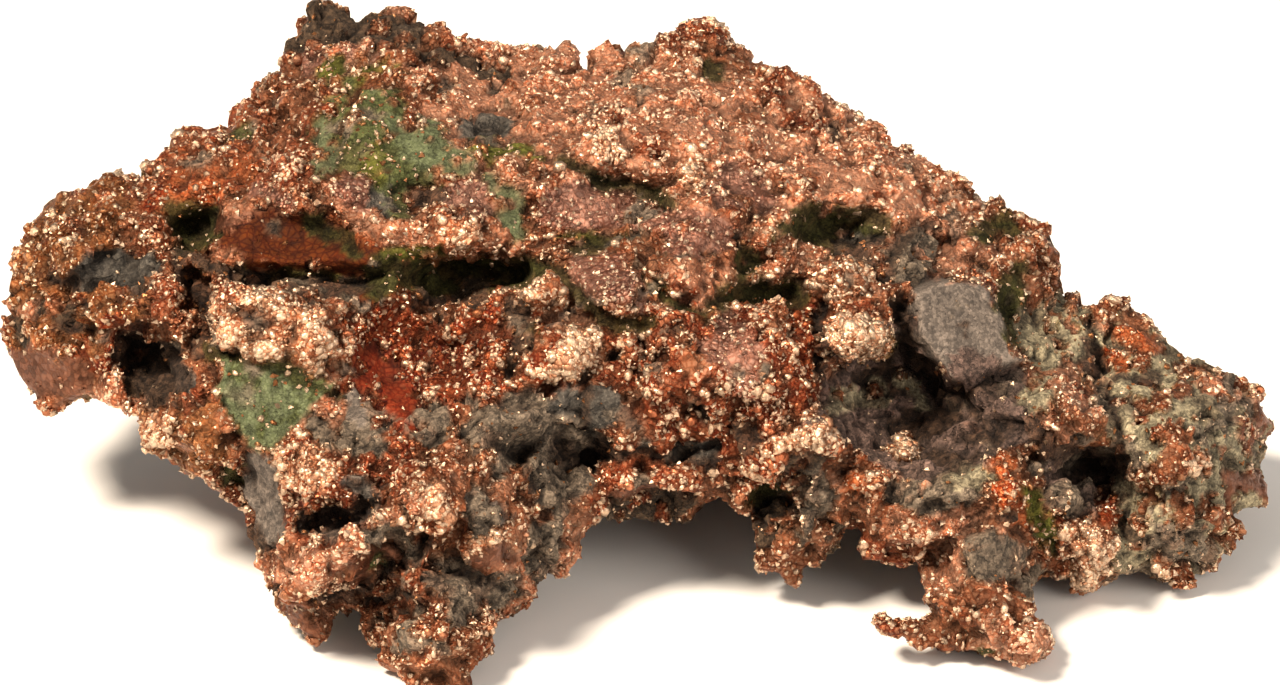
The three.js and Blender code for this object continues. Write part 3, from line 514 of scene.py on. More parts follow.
# Tones that lie as a thin broken film on the copper.
FILM_TONES = (Tone.GREEN, Tone.PALE_GREEN, Tone.OLIVE, Tone.SHADED_MOSS)

# Slender parts, whose relief is finer: across, up, half width, half height and turn.
SLENDER: tuple[Form, ...] = ((19.8, -21.4, 3.6, 1.9, 0), (11.9, -18.6, 1.8, 2.2, 0))

# Small knobs of the face, each a form with its height in millimetres.
KNOBS: tuple[Knob, ...] = (
    (20.6, -8.1, 1.0, 0.9, 0, 1.1),
    (-6.6, 21.9, 1.3, 1.2, 0, 0.9),
    (8.0, 15.3, 1.0, 0.9, 0, 0.7),
    (4.3, 13.3, 1.0, 0.8, 0, 0.7),
    (33.3, -12.2, 1.8, 1.3, 0, 0.8),
    (-44.6, 6.6, 1.2, 1.0, 0, 0.8),
    (-41.8, 9.0, 1.3, 2.0, 0, 0.7),
    (-40.6, 3.0, 1.2, 0.8, 0, 0.6),
    (-42.4, 5.8, 2.4, 1.6, 0, 1.1),
    (-15.6, -12.0, 1.6, 2.2, 5, 1.0),
    (-7.8, 3.9, 2.2, 1.2, 12, 0.8),
    (-21.6, -15.2, 7.0, 2.0, 33, 2.6),
    (-16.6, 5.2, 0.9, 0.9, 0, 1.0),
    (-12.4, 5.9, 0.8, 0.7, 0, 1.0),
    (-11.4, -16.2, 2.2, 2.2, 0, 1.0),
    (-20.2, -17.3, 0.9, 0.9, 0, 0.7),
    (13.6, -7.0, 2.6, 2.0, 0, 0.8),
    (17.2, 0.6, 2.2, 1.8, 0, 1.2),
    (35.2, -16.0, 1.5, 2.0, 0, 0.8),
    (-4.8, -0.8, 1.8, 2.6, 0, 0.8),
    (33.6, -4.6, 1.6, 1.8, 0, 0.8),
)


@dataclass(frozen=True)
class Face:
    """The specimen's face as a drawing board: millimetres across, up and out of it."""

    middle_up: float
    middle_out: float

    @classmethod
    def of(cls, points: np.ndarray) -> "Face":
        """Centres the board on the given points, which are in metres."""
        up = points @ FACE_UP / MM
        out = points @ FACE_OUT / MM
        return cls(float(up.min() + up.max()) / 2.0, float(out.min() + out.max()) / 2.0)

    def drawn(self, points: np.ndarray) -> np.ndarray:
        """Places in metres as rows of across, up and out, in millimetres."""
        up = points @ FACE_UP / MM - self.middle_up
        out = points @ FACE_OUT / MM - self.middle_out
        return np.stack((points[:, 0] / MM, up, out), axis=1)

    def centre(self) -> Vector:
        """The board's middle in the row frame, in metres."""
        return Vector((FACE_UP * self.middle_up + FACE_OUT * self.middle_out) * MM)


def form_radius(form: Form, across: np.ndarray, up: np.ndarray) -> np.ndarray:
    """Distance from a form's middle in its own half sizes: 1 on its elliptical edge."""
    fx, fy, half_width, half_height, turn = form
    cos, sin = math.cos(math.radians(turn)), math.sin(math.radians(turn))
    along = ((across - fx) * cos + (up - fy) * sin) / half_width
    over = ((up - fy) * cos - (across - fx) * sin) / half_height
    return np.hypot(along, over)


def line_radius(line: Line, half_width: float, across: np.ndarray, up: np.ndarray) -> np.ndarray:
    """Distance from the nearest stretch of a line in half widths: 1 on the band's edge."""
    nearest = np.full(len(across), np.inf)
    for (x0, y0), (x1, y1) in zip(line[:-1], line[1:]):
        run, rise = x1 - x0, y1 - y0
        along = (across - x0) * run + (up - y0) * rise
        share = np.clip(along / (run * run + rise * rise), 0.0, 1.0)
        nearest = np.minimum(nearest, np.hypot(across - x0 - share * run, up - y0 - share * rise))
    return nearest / half_width


def edge_distance(corners: Line, across: np.ndarray, up: np.ndarray) -> np.ndarray:
    """Distance from a closed outline in millimetres, below zero inside it.

    A point is inside where a ray to the right crosses the outline an odd number of times.
    """
    closed = corners + corners[:1]
    inside = np.zeros(len(across), dtype=bool)
    for (x0, y0), (x1, y1) in zip(closed[:-1], closed[1:]):
        if y0 != y1:
            crossing = x0 + (up - y0) * (x1 - x0) / (y1 - y0)
            inside ^= ((y0 > up) != (y1 > up)) & (across < crossing)
    return np.where(inside, -1.0, 1.0) * line_radius(closed, 1.0, across, up)


@dataclass
class Surface:
    """The skin's points as arrays, with what each of them is made of."""

    points: np.ndarray
    normals: np.ndarray
    edges: np.ndarray
    tint: np.ndarray
    minerals: np.ndarray
    grains: np.ndarray
    relief: np.ndarray


def neighbour_mean(points: np.ndarray, edges: np.ndarray) -> np.ndarray:
    """The mean of each point's neighbours: sums over its edges divided by their count."""
    count = len(points)
    degree = np.bincount(edges.ravel(), minlength=count)
    sums = [
        np.bincount(edges[:, 0], points[edges[:, 1], k], count)
        + np.bincount(edges[:, 1], points[edges[:, 0], k], count)
        for k in range(points.shape[1])
    ]
    return np.stack(sums, axis=1) / np.maximum(degree, 1)[:, None]


def smoothed(points: np.ndarray, edges: np.ndarray, rounds: int,
             share: float | np.ndarray = 0.5) -> np.ndarray:
    """Moves each point the given share of the way to its neighbours' mean, round by round."""
    for _ in range(rounds):
        points = points + share * (neighbour_mean(points, edges) - points)
    return points


def read_rows(items: bpy.types.bpy_prop_collection, name: str, width: int,
              kind: type) -> np.ndarray:
    """Reads one property of every item as an array with that many columns."""
    values = np.empty(len(items) * width, dtype=kind)
    items.foreach_get(name, values)
    return values.reshape(-1, width)


def paint_points(mesh: bpy.types.Mesh, colours: np.ndarray) -> None:
    """Paints the tint of every point, in linear light."""
    opaque = np.ones((len(colours), 4))
    opaque[:, :3] = colours
    layer = mesh.attributes.new("tint", "FLOAT_COLOR", "POINT")
    layer.data.foreach_set("color", opaque.ravel())


def paint_values(mesh: bpy.types.Mesh, name: str, values: np.ndarray) -> None:
    """Paints one number on every point, under a name that the materials read."""
    layer = mesh.attributes.new(name, "FLOAT", "POINT")
    layer.data.foreach_set("value", values)


def add_node(tree: bpy.types.NodeTree, kind: str, settings: dict | None = None,
             inputs: dict | None = None) -> bpy.types.Node:
    """Adds a node, with its settings, and links or sets its inputs.

    Args:
        tree: The material's node tree.
        kind: The node's type name.
        settings: Node properties by name.
        inputs: Input values or output sockets to link, by input name or number.

    Returns:
        The new node.
    """
    node = tree.nodes.new(kind)
    for name, value in (settings or {}).items():
        setattr(node, name, value)
    for name, value in (inputs or {}).items():
        if isinstance(value, bpy.types.NodeSocket):
            tree.links.new(value, node.inputs[name])
        else:
            node.inputs[name].default_value = value
    return node


def graded(tree: bpy.types.NodeTree, value: bpy.types.NodeSocket, span: tuple[float, float],
           result: tuple[float | bpy.types.NodeSocket, float],
           curve: str = "LINEAR") -> bpy.types.NodeSocket:
    """Maps a value from one span to another.

    Args:
        tree: The material's node tree.
        value: The socket to map.
        span: The two values between which it is read.
        result: What those two values become.
        curve: The Map Range node's interpolation.

    Returns:
        The mapped value's socket.
    """
    node = add_node(tree, "ShaderNodeMapRange", {"interpolation_type": curve}, {
        "Value": value, "From Min": span[0], "From Max": span[1],
        "To Min": result[0], "To Max": result[1]})
    return node.outputs["Result"]


def multiplied(tree: bpy.types.NodeTree, vector: bpy.types.NodeSocket,
               factor: float | bpy.types.NodeSocket) -> bpy.types.NodeSocket:
    """Multiplies a colour or a vector by a factor."""
    node = add_node(tree, "ShaderNodeVectorMath", {"operation": "SCALE"}, {
        0: vector, "Scale": factor})
    return node.outputs["Vector"]


# The spans in which the noise and the cell colours have nearly all their values.
NOISE_SPAN = (0.3, 0.7)
CELL_SPAN = (0.2, 0.8)
UNIT_SPAN = (0.0, 1.0)
MIDDLE = 0.5

# Many rough layers give stone and metal a gritty grain; the creases are smoother.
GRIT_DETAIL = 8.0
GRIT_ROUGHNESS = 0.72
CREASE_DETAIL = 5.0
CREASE_ROUGHNESS = 0.6

# Creases: how far the noise may be from its middle level, and how deep they are.
CREASE_WIDTH = 0.05
CREASE_DEPTH_MM = 0.3

# Where the gap between two cells begins, in cells from their common edge.
GAP_START = 0.02


@dataclass(frozen=True)
class Patterns:
    """The sockets from which a material's colour and bumps are worked out."""

    tint: bpy.types.NodeSocket
    grain: bpy.types.NodeSocket
    relief: bpy.types.NodeSocket
    noise: bpy.types.NodeSocket
    cell_colour: bpy.types.NodeSocket
    cell_distance: bpy.types.NodeSocket
    cell_edge: bpy.types.NodeSocket
    crease: bpy.types.NodeSocket


@dataclass(frozen=True)
class Finish:
    """The look of one material: its gloss, its fine relief and how its colour wanders.

    Sizes are in millimetres. Grains are cells that bulge by cell_relief_mm where the painted
    grain attribute is high. Each cell shades its colour within cell_shade and leans by the
    share given as facets, and painted shade in the gaps between cells darkens the colour to
    the power gap_shade.
    Creases run along the middle level of a noise crease_mm wide and darken to crease_shade,
    less where the painted relief is low.
    """

    name: str
    metallic: float
    shine: float
    roughness: tuple[float, float]
    noise_mm: float
    noise_relief_mm: float
    noise_shade: tuple[float, float]
    cell_mm: float
    cell_relief_mm: float
    cell_shade: tuple[float, float]
    gap_shade: float
    gap_width: float
    facets: float
    crease_mm: float
    crease_shade: float

    def material(self) -> bpy.types.Material:
        """Builds the material: the painted tint, shaded by noise and cells, over fine bumps."""
        made = bpy.data.materials.new(self.name)
        made.use_nodes = True
        tree = made.node_tree
        tree.nodes.clear()
        patterns = self.patterns(tree)
        shader = add_node(tree, "ShaderNodeBsdfPrincipled", {}, {
            "Base Color": self.colour(tree, patterns),
            "Metallic": self.metallic,
            "Specular IOR Level": self.shine,
            "Roughness": graded(tree, patterns.noise, NOISE_SPAN, self.roughness),
            "Normal": self.normal(tree, patterns)})
        add_node(tree, "ShaderNodeOutputMaterial", {}, {"Surface": shader.outputs["BSDF"]})
        return made

    def patterns(self, tree: bpy.types.NodeTree) -> Patterns:
        """Adds the painted attributes, the noise, the cells and the creases."""
        place = add_node(tree, "ShaderNodeTexCoord").outputs["Object"]
        tint, grain, relief = (
            add_node(tree, "ShaderNodeAttribute", {"attribute_name": name})
            for name in ("tint", "grain", "relief")
        )
        noise = add_node(tree, "ShaderNodeTexNoise", {}, {
            "Vector": place, "Scale": 1.0 / (self.noise_mm * MM),
            "Detail": GRIT_DETAIL, "Roughness": GRIT_ROUGHNESS})
        cell_scale = 1.0 / (self.cell_mm * MM)
        cells = add_node(tree, "ShaderNodeTexVoronoi", {}, {"Vector": place, "Scale": cell_scale})
        edges = add_node(tree, "ShaderNodeTexVoronoi", {"feature": "DISTANCE_TO_EDGE"}, {
            "Vector": place, "Scale": cell_scale})
        veins = add_node(tree, "ShaderNodeTexNoise", {}, {
            "Vector": place, "Scale": 1.0 / (self.crease_mm * MM),
            "Detail": CREASE_DETAIL, "Roughness": CREASE_ROUGHNESS})
        level = add_node(tree, "ShaderNodeMath", {"operation": "SUBTRACT"}, {
            0: veins.outputs["Fac"], 1: MIDDLE})
        away = add_node(tree, "ShaderNodeMath", {"operation": "ABSOLUTE"}, {
            0: level.outputs["Value"]})
        darkest = graded(tree, relief.outputs["Fac"], UNIT_SPAN, (1.0, self.crease_shade))
        crease = graded(tree, away.outputs["Value"], (0.0, CREASE_WIDTH), (darkest, 1.0),
                        "SMOOTHSTEP")
        return Patterns(
            tint=tint.outputs["Color"],
            grain=grain.outputs["Fac"],
            relief=relief.outputs["Fac"],
            noise=noise.outputs["Fac"],
            cell_colour=cells.outputs["Color"],
            cell_distance=cells.outputs["Distance"],
            cell_edge=edges.outputs["Distance"],
            crease=crease,
        )

    def colour(self, tree: bpy.types.NodeTree, patterns: Patterns) -> bpy.types.NodeSocket:
        """The tint, with painted shade in the gaps between grains, shaded by noise, cells and
        creases.
        """
        # Painted shade: where the grain cover is high, the gaps between cells darken and redden the
        # tint.
        rim = graded(tree, patterns.cell_edge, (GAP_START, self.gap_width), (1.0, 0.0),
                     "SMOOTHSTEP")
        gap = add_node(tree, "ShaderNodeMath", {"operation": "MULTIPLY"}, {
            0: rim, 1: patterns.grain})
        power = graded(tree, gap.outputs["Value"], UNIT_SPAN, (1.0, self.gap_shade))
        gap_shaded = add_node(tree, "ShaderNodeGamma", {}, {
            "Color": patterns.tint, "Gamma": power})
        patchy = graded(tree, patterns.noise, NOISE_SPAN, self.noise_shade)
        single = graded(tree, patterns.cell_colour, CELL_SPAN, self.cell_shade)
        shaded = multiplied(tree, multiplied(tree, gap_shaded.outputs["Color"], patchy), single)
        return multiplied(tree, shaded, patterns.crease)

    def normal(self, tree: bpy.types.NodeTree, patterns: Patterns) -> bpy.types.NodeSocket:
        """The surface direction after the grit, the creases, the grains and their lean."""
        rough = add_node(tree, "ShaderNodeBump", {}, {
            "Strength": patterns.relief, "Height": patterns.noise,
            "Distance": self.noise_relief_mm * MM})
        cracked = add_node(tree, "ShaderNodeBump", {}, {
            "Height": patterns.crease, "Distance": CREASE_DEPTH_MM * MM,
            "Normal": rough.outputs["Normal"]})
        grainy = add_node(tree, "ShaderNodeBump", {"invert": True}, {
            "Strength": patterns.grain, "Height": patterns.cell_distance,
            "Distance": self.cell_relief_mm * MM, "Normal": cracked.outputs["Normal"]})
        turn = add_node(tree, "ShaderNodeVectorMath", {"operation": "SUBTRACT"}, {
            0: patterns.cell_colour, 1: (MIDDLE, MIDDLE, MIDDLE)})
        leaned = add_node(tree, "ShaderNodeVectorMath", {"operation": "ADD"}, {
            0: grainy.outputs["Normal"], 1: multiplied(tree, turn.outputs["Vector"], self.facets)})
        normal = add_node(tree, "ShaderNodeVectorMath", {"operation": "NORMALIZE"}, {
            0: leaned.outputs["Vector"]})
        return normal.outputs["Vector"]


# Crystalline copper: a broken metal sheen of tiny beads, bright on top, with painted shade deep red
# between them.
NATIVE_COPPER = Finish(
    name="native_copper", metallic=0.8, shine=0.5, roughness=(0.34, 0.55),
    noise_mm=1.1, noise_relief_mm=0.40, noise_shade=(0.7, 1.25),
    cell_mm=0.46, cell_relief_mm=0.22, cell_shade=(0.65, 1.35),
    gap_shade=1.8, gap_width=0.25, facets=0.4, crease_mm=1.8, crease_shade=0.7,
)
# Red copper oxide: earthy and dull, mottled brown and red.
COPPER_OXIDE = Finish(
    name="copper_oxide", metallic=0.05, shine=0.15, roughness=(0.65, 0.9),
    noise_mm=0.9, noise_relief_mm=0.30, noise_shade=(0.5, 1.4),
    cell_mm=0.60, cell_relief_mm=0.08, cell_shade=(0.85, 1.15),
    gap_shade=1.3, gap_width=0.2, facets=0.1, crease_mm=2.0, crease_shade=0.75,
)
# Malachite crust: a powdery, velvety stain without shine.
MALACHITE_CRUST = Finish(
    name="malachite_crust", metallic=0.0, shine=0.15, roughness=(0.80, 0.95),
    noise_mm=0.9, noise_relief_mm=0.60, noise_shade=(0.45, 1.4),
    cell_mm=0.30, cell_relief_mm=0.07, cell_shade=(0.8, 1.2),
    gap_shade=1.2, gap_width=0.2, facets=0.1, crease_mm=1.4, crease_shade=0.6,
)
# Host rock: dry, broken, matt, with small pale and dark minerals.
HOST_ROCK = Finish(
    name="host_rock", metallic=0.0, shine=0.3, roughness=(0.70, 0.95),
    noise_mm=0.9, noise_relief_mm=0.80, noise_shade=(0.4, 1.45),
    cell_mm=0.22, cell_relief_mm=0.06, cell_shade=(0.62, 1.38),
    gap_shade=1.1, gap_width=0.2, facets=0.2, crease_mm=1.5, crease_shade=0.42,
)
# Copper crystals: rounded or sharp, with clean tops that glint when they meet the light.
COPPER_CRYSTAL = Finish(
    name="copper_crystal", metallic=0.9, shine=0.5, roughness=(0.24, 0.44),
    noise_mm=0.6, noise_relief_mm=0.08, noise_shade=(0.8, 1.2),
    cell_mm=0.25, cell_relief_mm=0.01, cell_shade=(0.9, 1.1),
    gap_shade=1.0, gap_width=0.2, facets=0.1, crease_mm=1.0, crease_shade=0.9,
)

# How far a normal leans to the viewer, from hidden to seen: for paint, relief and flat faces.
SEEN_PAINT = (-0.35, 0.05)
SEEN_RELIEF = (0.0, 0.3)
SEEN_FACETS = (-0.2, 0.1)

# Where painted edges fade, in radii or half widths, and for flat faces in millimetres.
PATCH_EDGE = (0.88, 1.06)
BAND_EDGE = (0.85, 1.1)
CREVICE_EDGE = (0.7, 1.25)
FACET_EDGE_MM = (-0.15, 0.2)

# How far painted edges are shifted in millimetres, and the noises that shift them.
PATCH_SHIFT_MM = 0.7
PATCH_ACROSS = Noise(3.2, 5, 4)
PATCH_UP = Noise(3.2, 9, 4)
LINE_SHIFT_MM = 0.45
LINE_ACROSS = Noise(1.6, 25)
LINE_UP = Noise(1.6, 27)
RAGGED_BROAD = Noise(2.6, 13, 4)
RAGGED_FINE = Noise(0.9, 15, 2)

# How the copper drifts from fiery to pink, and what lies on the sides away from the face.
DRIFT = Noise(6.0, 21)
DRIFT_LEVELS = (0.1, 0.6)
DRIFT_SHARE = 0.8
BACK_BROWN = (0.0, 0.3)
BACK_ROCK = Blotches(Noise(9.0, 33, 4), 0.05, 0.20)
BACK_STAIN = Blotches(Noise(7.0, 41, 4), 0.30, 0.42)
BACK_PALER = Blotches(Noise(2.4, 45), 0.0, 0.5)
BACK_FRECKLES = Blotches(Noise(1.5, 47), 0.25, 0.4)

# Breaks in the malachite film; holes in other patches, each tone with a seed of its own.
FILM_BREAKS = Blotches(Noise(1.5, 97, 4), 0.12, 0.38)
HOLE_SIZE_MM = 1.7
HOLE_LEVELS = (0.42, 0.55)
HOLE_SEED = 500
HOLE_SEED_STEP = 7

# Brown and copper in the rock, and specks of rock in the copper.
STONE_COVER = (0.03, 0.06)
STONE_BROWN = Blotches(Noise(2.6, 95, 4), 0.1, 0.5)
STONE_COPPER = Blotches(Noise(1.7, 91, 4), 0.34, 0.48)
SPECKS = Blotches(Noise(1.9, 57), 0.46, 0.60)
SPECK_ZONES = Blotches(Noise(8.0, 61), -0.2, 0.3)

# Weathering and painted shade: rounds of smoothing that show broad and fine hollows, and the
# painted shade in them.
BROAD_ROUNDS = 70
FINE_ROUNDS = 8
# The colour of the painted shade in the hollows.
HOLLOW_SHADE = "#24170c"
DEEP_MM = (0.3, 2.0)
CREVICE_MM = (0.02, 0.26)
CLEARED_MM = (0.0, 0.2)
CREST_MM = (0.03, 0.20)
GLOW_FINE = Noise(1.4, 71)
GLOW_BROAD = Noise(4.0, 73)
GRAIN_ZONES = Blotches(Noise(2.4, 83), -0.4, 0.5)

# Relief of the minerals: the bend of their cells, and the nodules' rise in millimetres.
BEND_MM = 0.7
BEND_SIZE_MM = 3.0
BEND_SEED = 300
NODULES = ((Scatter(4.6, 100), 1.3), (Scatter(1.05, 250), 0.28))
NODULE_LEVEL = 0.45
SCALES = Scatter(2.6, 200)
FOLDS = Noise(2.4, 230)
PORES = Blotches(Noise(1.8, 270, 2), 0.28, 0.50)
BLOCKS = Scatter(2.3, 310)
BLOCK_SQUASH = np.array((1.0, 1.0, 1.25))
BLOCK_CRACK = (0.0, 0.18)
CRAGS = Scatter(1.0, 330)
RIPPLE = Noise(1.6, 400, 4)

# Relief of the face's own knobs, crevices and flat faces: how their edges wander and fade.
KNOB_SHIFT_MM = 0.75
KNOB_ACROSS = Noise(2.2, 601, 4)
KNOB_UP = Noise(2.2, 603, 4)
KNOB_RAGGED = Noise(1.1, 605)
KNOB_EDGE = (0.3, 1.1)
CLEFT_EDGE = (0.1, 1.4)
SLENDER_EDGE = (0.8, 1.2)
PRESS_WANDER = Noise(1.8, 701)
PRESS_EDGE_MM = (-0.1, 0.2)
PRESS_ROUNDS = (10, 2)

# Heights above the floor between which the relief and the grains come in.
RELIEF_FLOOR_MM = (0.2, 1.2)
GRAIN_FLOOR_MM = (0.3, 1.0)


@dataclass
class OreSkin:
    """The outer surface of the ore: finer than the solid, with nodules, cracks and stains."""

    node: bpy.types.Object
    face: Face
    voxel_mm: float = 0.44
    rounds: int = 2
    surface: Surface | None = None

    def build(self) -> bpy.types.Object:
        """Builds the skin on a merged, finely divided copy of the solid."""
        mesh = self.divided_copy()
        edges = read_rows(mesh.edges, "vertices", 2, np.int32)
        points = smoothed(read_rows(mesh.vertices, "co", 3, np.float64), edges, self.rounds)
        count = len(points)
        self.surface = Surface(
            points=points,
            normals=self.settle(mesh, points),
            edges=edges,
            tint=np.zeros((count, 3)),
            minerals=np.zeros((count, len(Mineral))),
            grains=np.zeros(count),
            relief=np.zeros(count),
        )
        self.paint(self.surface)
        self.roughen(self.surface)
        self.flatten(self.surface)
        self.surface.normals = self.settle(mesh, self.surface.points)
        self.weather_and_shade(self.surface)
        skin = bpy.data.objects.new("ore_skin", mesh)
        bpy.context.scene.collection.objects.link(skin)
        self.dress(skin)
        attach(skin, "root")
        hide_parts(NODE)
        return skin

    @staticmethod
    def settle(mesh: bpy.types.Mesh, points: np.ndarray) -> np.ndarray:
        """Moves the mesh to these points and returns its new normals."""
        mesh.vertices.foreach_set("co", points.ravel())
        mesh.update()
        return read_rows(mesh.vertices, "normal", 3, np.float64)

    def divided_copy(self) -> bpy.types.Mesh:
        """Copies the solid, welds it and divides it into even cells by a voxel pass."""
        copy = bpy.data.objects.new("ore_voxels", self.node.data.copy())
        bpy.context.scene.collection.objects.link(copy)
        weld = copy.modifiers.new("weld", "WELD")
        weld.merge_threshold = WELD_MM * MM
        cells = copy.modifiers.new("cells", "REMESH")
        cells.mode = "VOXEL"
        cells.voxel_size = self.voxel_mm * MM
        bpy.context.view_layer.update()
        evaluated = copy.evaluated_get(bpy.context.evaluated_depsgraph_get())
        mesh = bpy.data.meshes.new_from_object(evaluated)
        mesh.name = "ore_skin"
        mesh.materials.clear()
        bpy.data.objects.remove(copy)
        return mesh

    @staticmethod
    def cover(surface: Surface, tone: Tone, share: np.ndarray) -> None:
        """Blends a tone over the surface by a share from 0 to 1 at each point."""
        part = share[:, None]
        kind = np.zeros(len(Mineral))
        kind[tone.value.mineral.value] = 1.0
        surface.tint += part * (linear_rgb(tone.value.colour) - surface.tint)
        surface.minerals += part * (kind - surface.minerals)
        surface.grains += share * (tone.value.grains - surface.grains)
        surface.relief += share * (tone.value.relief - surface.relief)

    def paint(self, surface: Surface) -> None:
        """Lays the ground, then the face's own colours where it can be seen, then specks."""
        seen = smooth_step(*SEEN_PAINT, surface.normals @ FACE_OUT)
        self.paint_ground(surface, 1.0 - seen)
        self.paint_face(surface, seen)
        self.paint_specks(surface, seen)

    def paint_ground(self, surface: Surface, hidden: np.ndarray) -> None:
        """Lays copper that drifts in colour, with rock and stains on the hidden sides.

        Args:
            surface: The skin's points.
            hidden: How far each point is turned away from the face, from 0 to 1.
        """
        place = surface.points / MM
        self.cover(surface, Tone.COPPER, np.ones(len(place)))
        drift = DRIFT.at(place)
        self.cover(surface, Tone.FIERY, DRIFT_SHARE * smooth_step(*DRIFT_LEVELS, drift))
        self.cover(surface, Tone.PINK, DRIFT_SHARE * smooth_step(*DRIFT_LEVELS, -drift))
        rock = BACK_ROCK.at(place)
        stain = BACK_STAIN.at(place)
        self.cover(surface, Tone.GREY, hidden * rock)
        self.cover(surface, Tone.BROWN, hidden * rock * smooth_step(*BACK_BROWN, drift))
        self.cover(surface, Tone.GREEN, 0.9 * hidden * stain)
        self.cover(surface, Tone.PALE_GREEN, 0.8 * hidden * stain * BACK_PALER.at(place))
        self.cover(surface, Tone.GOLDEN, 0.8 * hidden * BACK_FRECKLES.at(place))

    def paint_face(self, surface: Surface, seen: np.ndarray) -> None:
        """Lays the patches, flat faces, bands and crevices on the face.

        Each covers a point by the smooth step of its radius or edge distance, with an edge
        that wanders by layered noise, and later ones cover earlier ones. Patches have holes
        where a finer noise is high, and malachite is a broken film.

        Args:
            surface: The skin's points.
            seen: How far each point is turned to the face, from 0 to 1.
        """
        place = surface.points / MM
        drawn = self.face.drawn(surface.points)
        across = drawn[:, 0] + PATCH_SHIFT_MM * PATCH_ACROSS.at(place)
        up = drawn[:, 1] + PATCH_SHIFT_MM * PATCH_UP.at(place)
        ragged = 0.30 * RAGGED_BROAD.at(place) + 0.18 * RAGGED_FINE.at(place)
        film = 0.9 * (1.0 - 0.9 * FILM_BREAKS.at(place))
        for number, (tone, forms) in enumerate(PATCHES):
            whole = np.ones(len(place))
            if tone in FILM_TONES:
                whole = film
            elif tone not in WHOLE_TONES:
                noise = Noise(HOLE_SIZE_MM, HOLE_SEED + HOLE_SEED_STEP * number)
                whole = 1.0 - Blotches(noise, *HOLE_LEVELS).at(place)
            for form in forms:
                radius = form_radius(form, across, up) + ragged
                self.cover(surface, tone, (1.0 - smooth_step(*PATCH_EDGE, radius)) * seen * whole)
        across = drawn[:, 0] + LINE_SHIFT_MM * LINE_ACROSS.at(place)
        up = drawn[:, 1] + LINE_SHIFT_MM * LINE_UP.at(place)
        for tone, _, _, corners in FACETS:
            edge = edge_distance(corners, across, up) + 0.6 * ragged
            self.cover(surface, tone, (1.0 - smooth_step(*FACET_EDGE_MM, edge)) * seen)
        for tone, half_width, line in BANDS:
            radius = line_radius(line, half_width, across, up) + 1.3 * ragged
            whole = film if tone in FILM_TONES else 1.0
            self.cover(surface, tone, (1.0 - smooth_step(*BAND_EDGE, radius)) * seen * whole)
        # Painted shade in the crevices: each is painted in its tone.
        for tone, half_width, _, line in CREVICES:
            radius = line_radius(line, half_width, across, up) + ragged
            self.cover(surface, tone, 0.85 * (1.0 - smooth_step(*CREVICE_EDGE, radius)) * seen)

    def paint_specks(self, surface: Surface, seen: np.ndarray) -> None:
        """Lays brown and copper in the rock of the face, and specks of rock everywhere."""
        place = surface.points / MM
        rock = surface.minerals[:, Mineral.ROCK.value]
        stone = rock * smooth_step(*STONE_COVER, surface.grains) * seen
        self.cover(surface, Tone.BROWN, 0.6 * stone * STONE_BROWN.at(place))
        self.cover(surface, Tone.COPPER, stone * STONE_COPPER.at(place))
        self.cover(surface, Tone.GREY, SPECKS.at(place) * 0.9 * SPECK_ZONES.at(place))

    def roughen(self, surface: Surface) -> None:
        """Moves the points by the relief of their minerals, and by the face's own relief.

        Each mineral's height counts by its share of the point and by the painted relief, and
        moves the point along its normal. Knobs and crevices move it along the face's outward
        direction. Nothing moves at the floor.
        """
        place = surface.points / MM
        bends = [Noise(BEND_SIZE_MM, BEND_SEED + k).at(place) for k in range(3)]
        bent = place + BEND_MM * np.stack(bends, axis=1)
        ripple = 0.3 * RIPPLE.at(place)
        kinds = (self.copper_relief(bent), ripple, ripple * 1.3, self.rock_relief(bent) + ripple)
        depth = np.einsum("ij,ij->i", np.stack(kinds, axis=1), surface.minerals) * surface.relief
        drawn = self.face.drawn(surface.points)
        slender = np.max([
            1.0 - smooth_step(*SLENDER_EDGE, form_radius(form, drawn[:, 0], drawn[:, 1]))
            for form in SLENDER
        ], axis=0)
        depth = depth * (1.0 - 0.7 * slender) - 0.45 * slender
        dents = self.face_relief(place, drawn)
        dents *= smooth_step(*SEEN_RELIEF, surface.normals @ FACE_OUT)
        floor = smooth_step(*RELIEF_FLOOR_MM, surface.points[:, 2] / MM)
        surface.points += surface.normals * (depth * floor * MM)[:, None]
        surface.points += FACE_OUT * (dents * floor * MM)[:, None]

    @staticmethod
    def copper_relief(bent: np.ndarray) -> np.ndarray:
        """Heights of copper in millimetres, at bent places.

        Nodules of two sizes bulge by a level less the squared distance to the nearest cell
        point. They break into leaning scales, rise along the zero lines of a noise and are
        pierced by pores.
        """
        heights = sum(
            rise * (NODULE_LEVEL - nodules.at(bent).near ** 2) for nodules, rise in NODULES
        )
        scales = SCALES.at(bent)
        heights += 0.8 * scales.height + 1.5 * scales.slope
        heights -= 0.5 * np.abs(FOLDS.at(bent)) - 0.15
        return heights - 0.7 * PORES.at(bent)

    @staticmethod
    def rock_relief(bent: np.ndarray) -> np.ndarray:
        """Heights of rock in millimetres: leaning blocks with cracks around them, and crags."""
        cells = BLOCKS.at(bent * BLOCK_SQUASH)
        cracks = 0.35 * (1.0 - smooth_step(*BLOCK_CRACK, cells.gap))
        crags = CRAGS.at(bent)
        blocks = 1.1 * cells.height + 1.7 * cells.slope - cracks
        return blocks + (0.25 * crags.height + 0.45 * crags.slope)

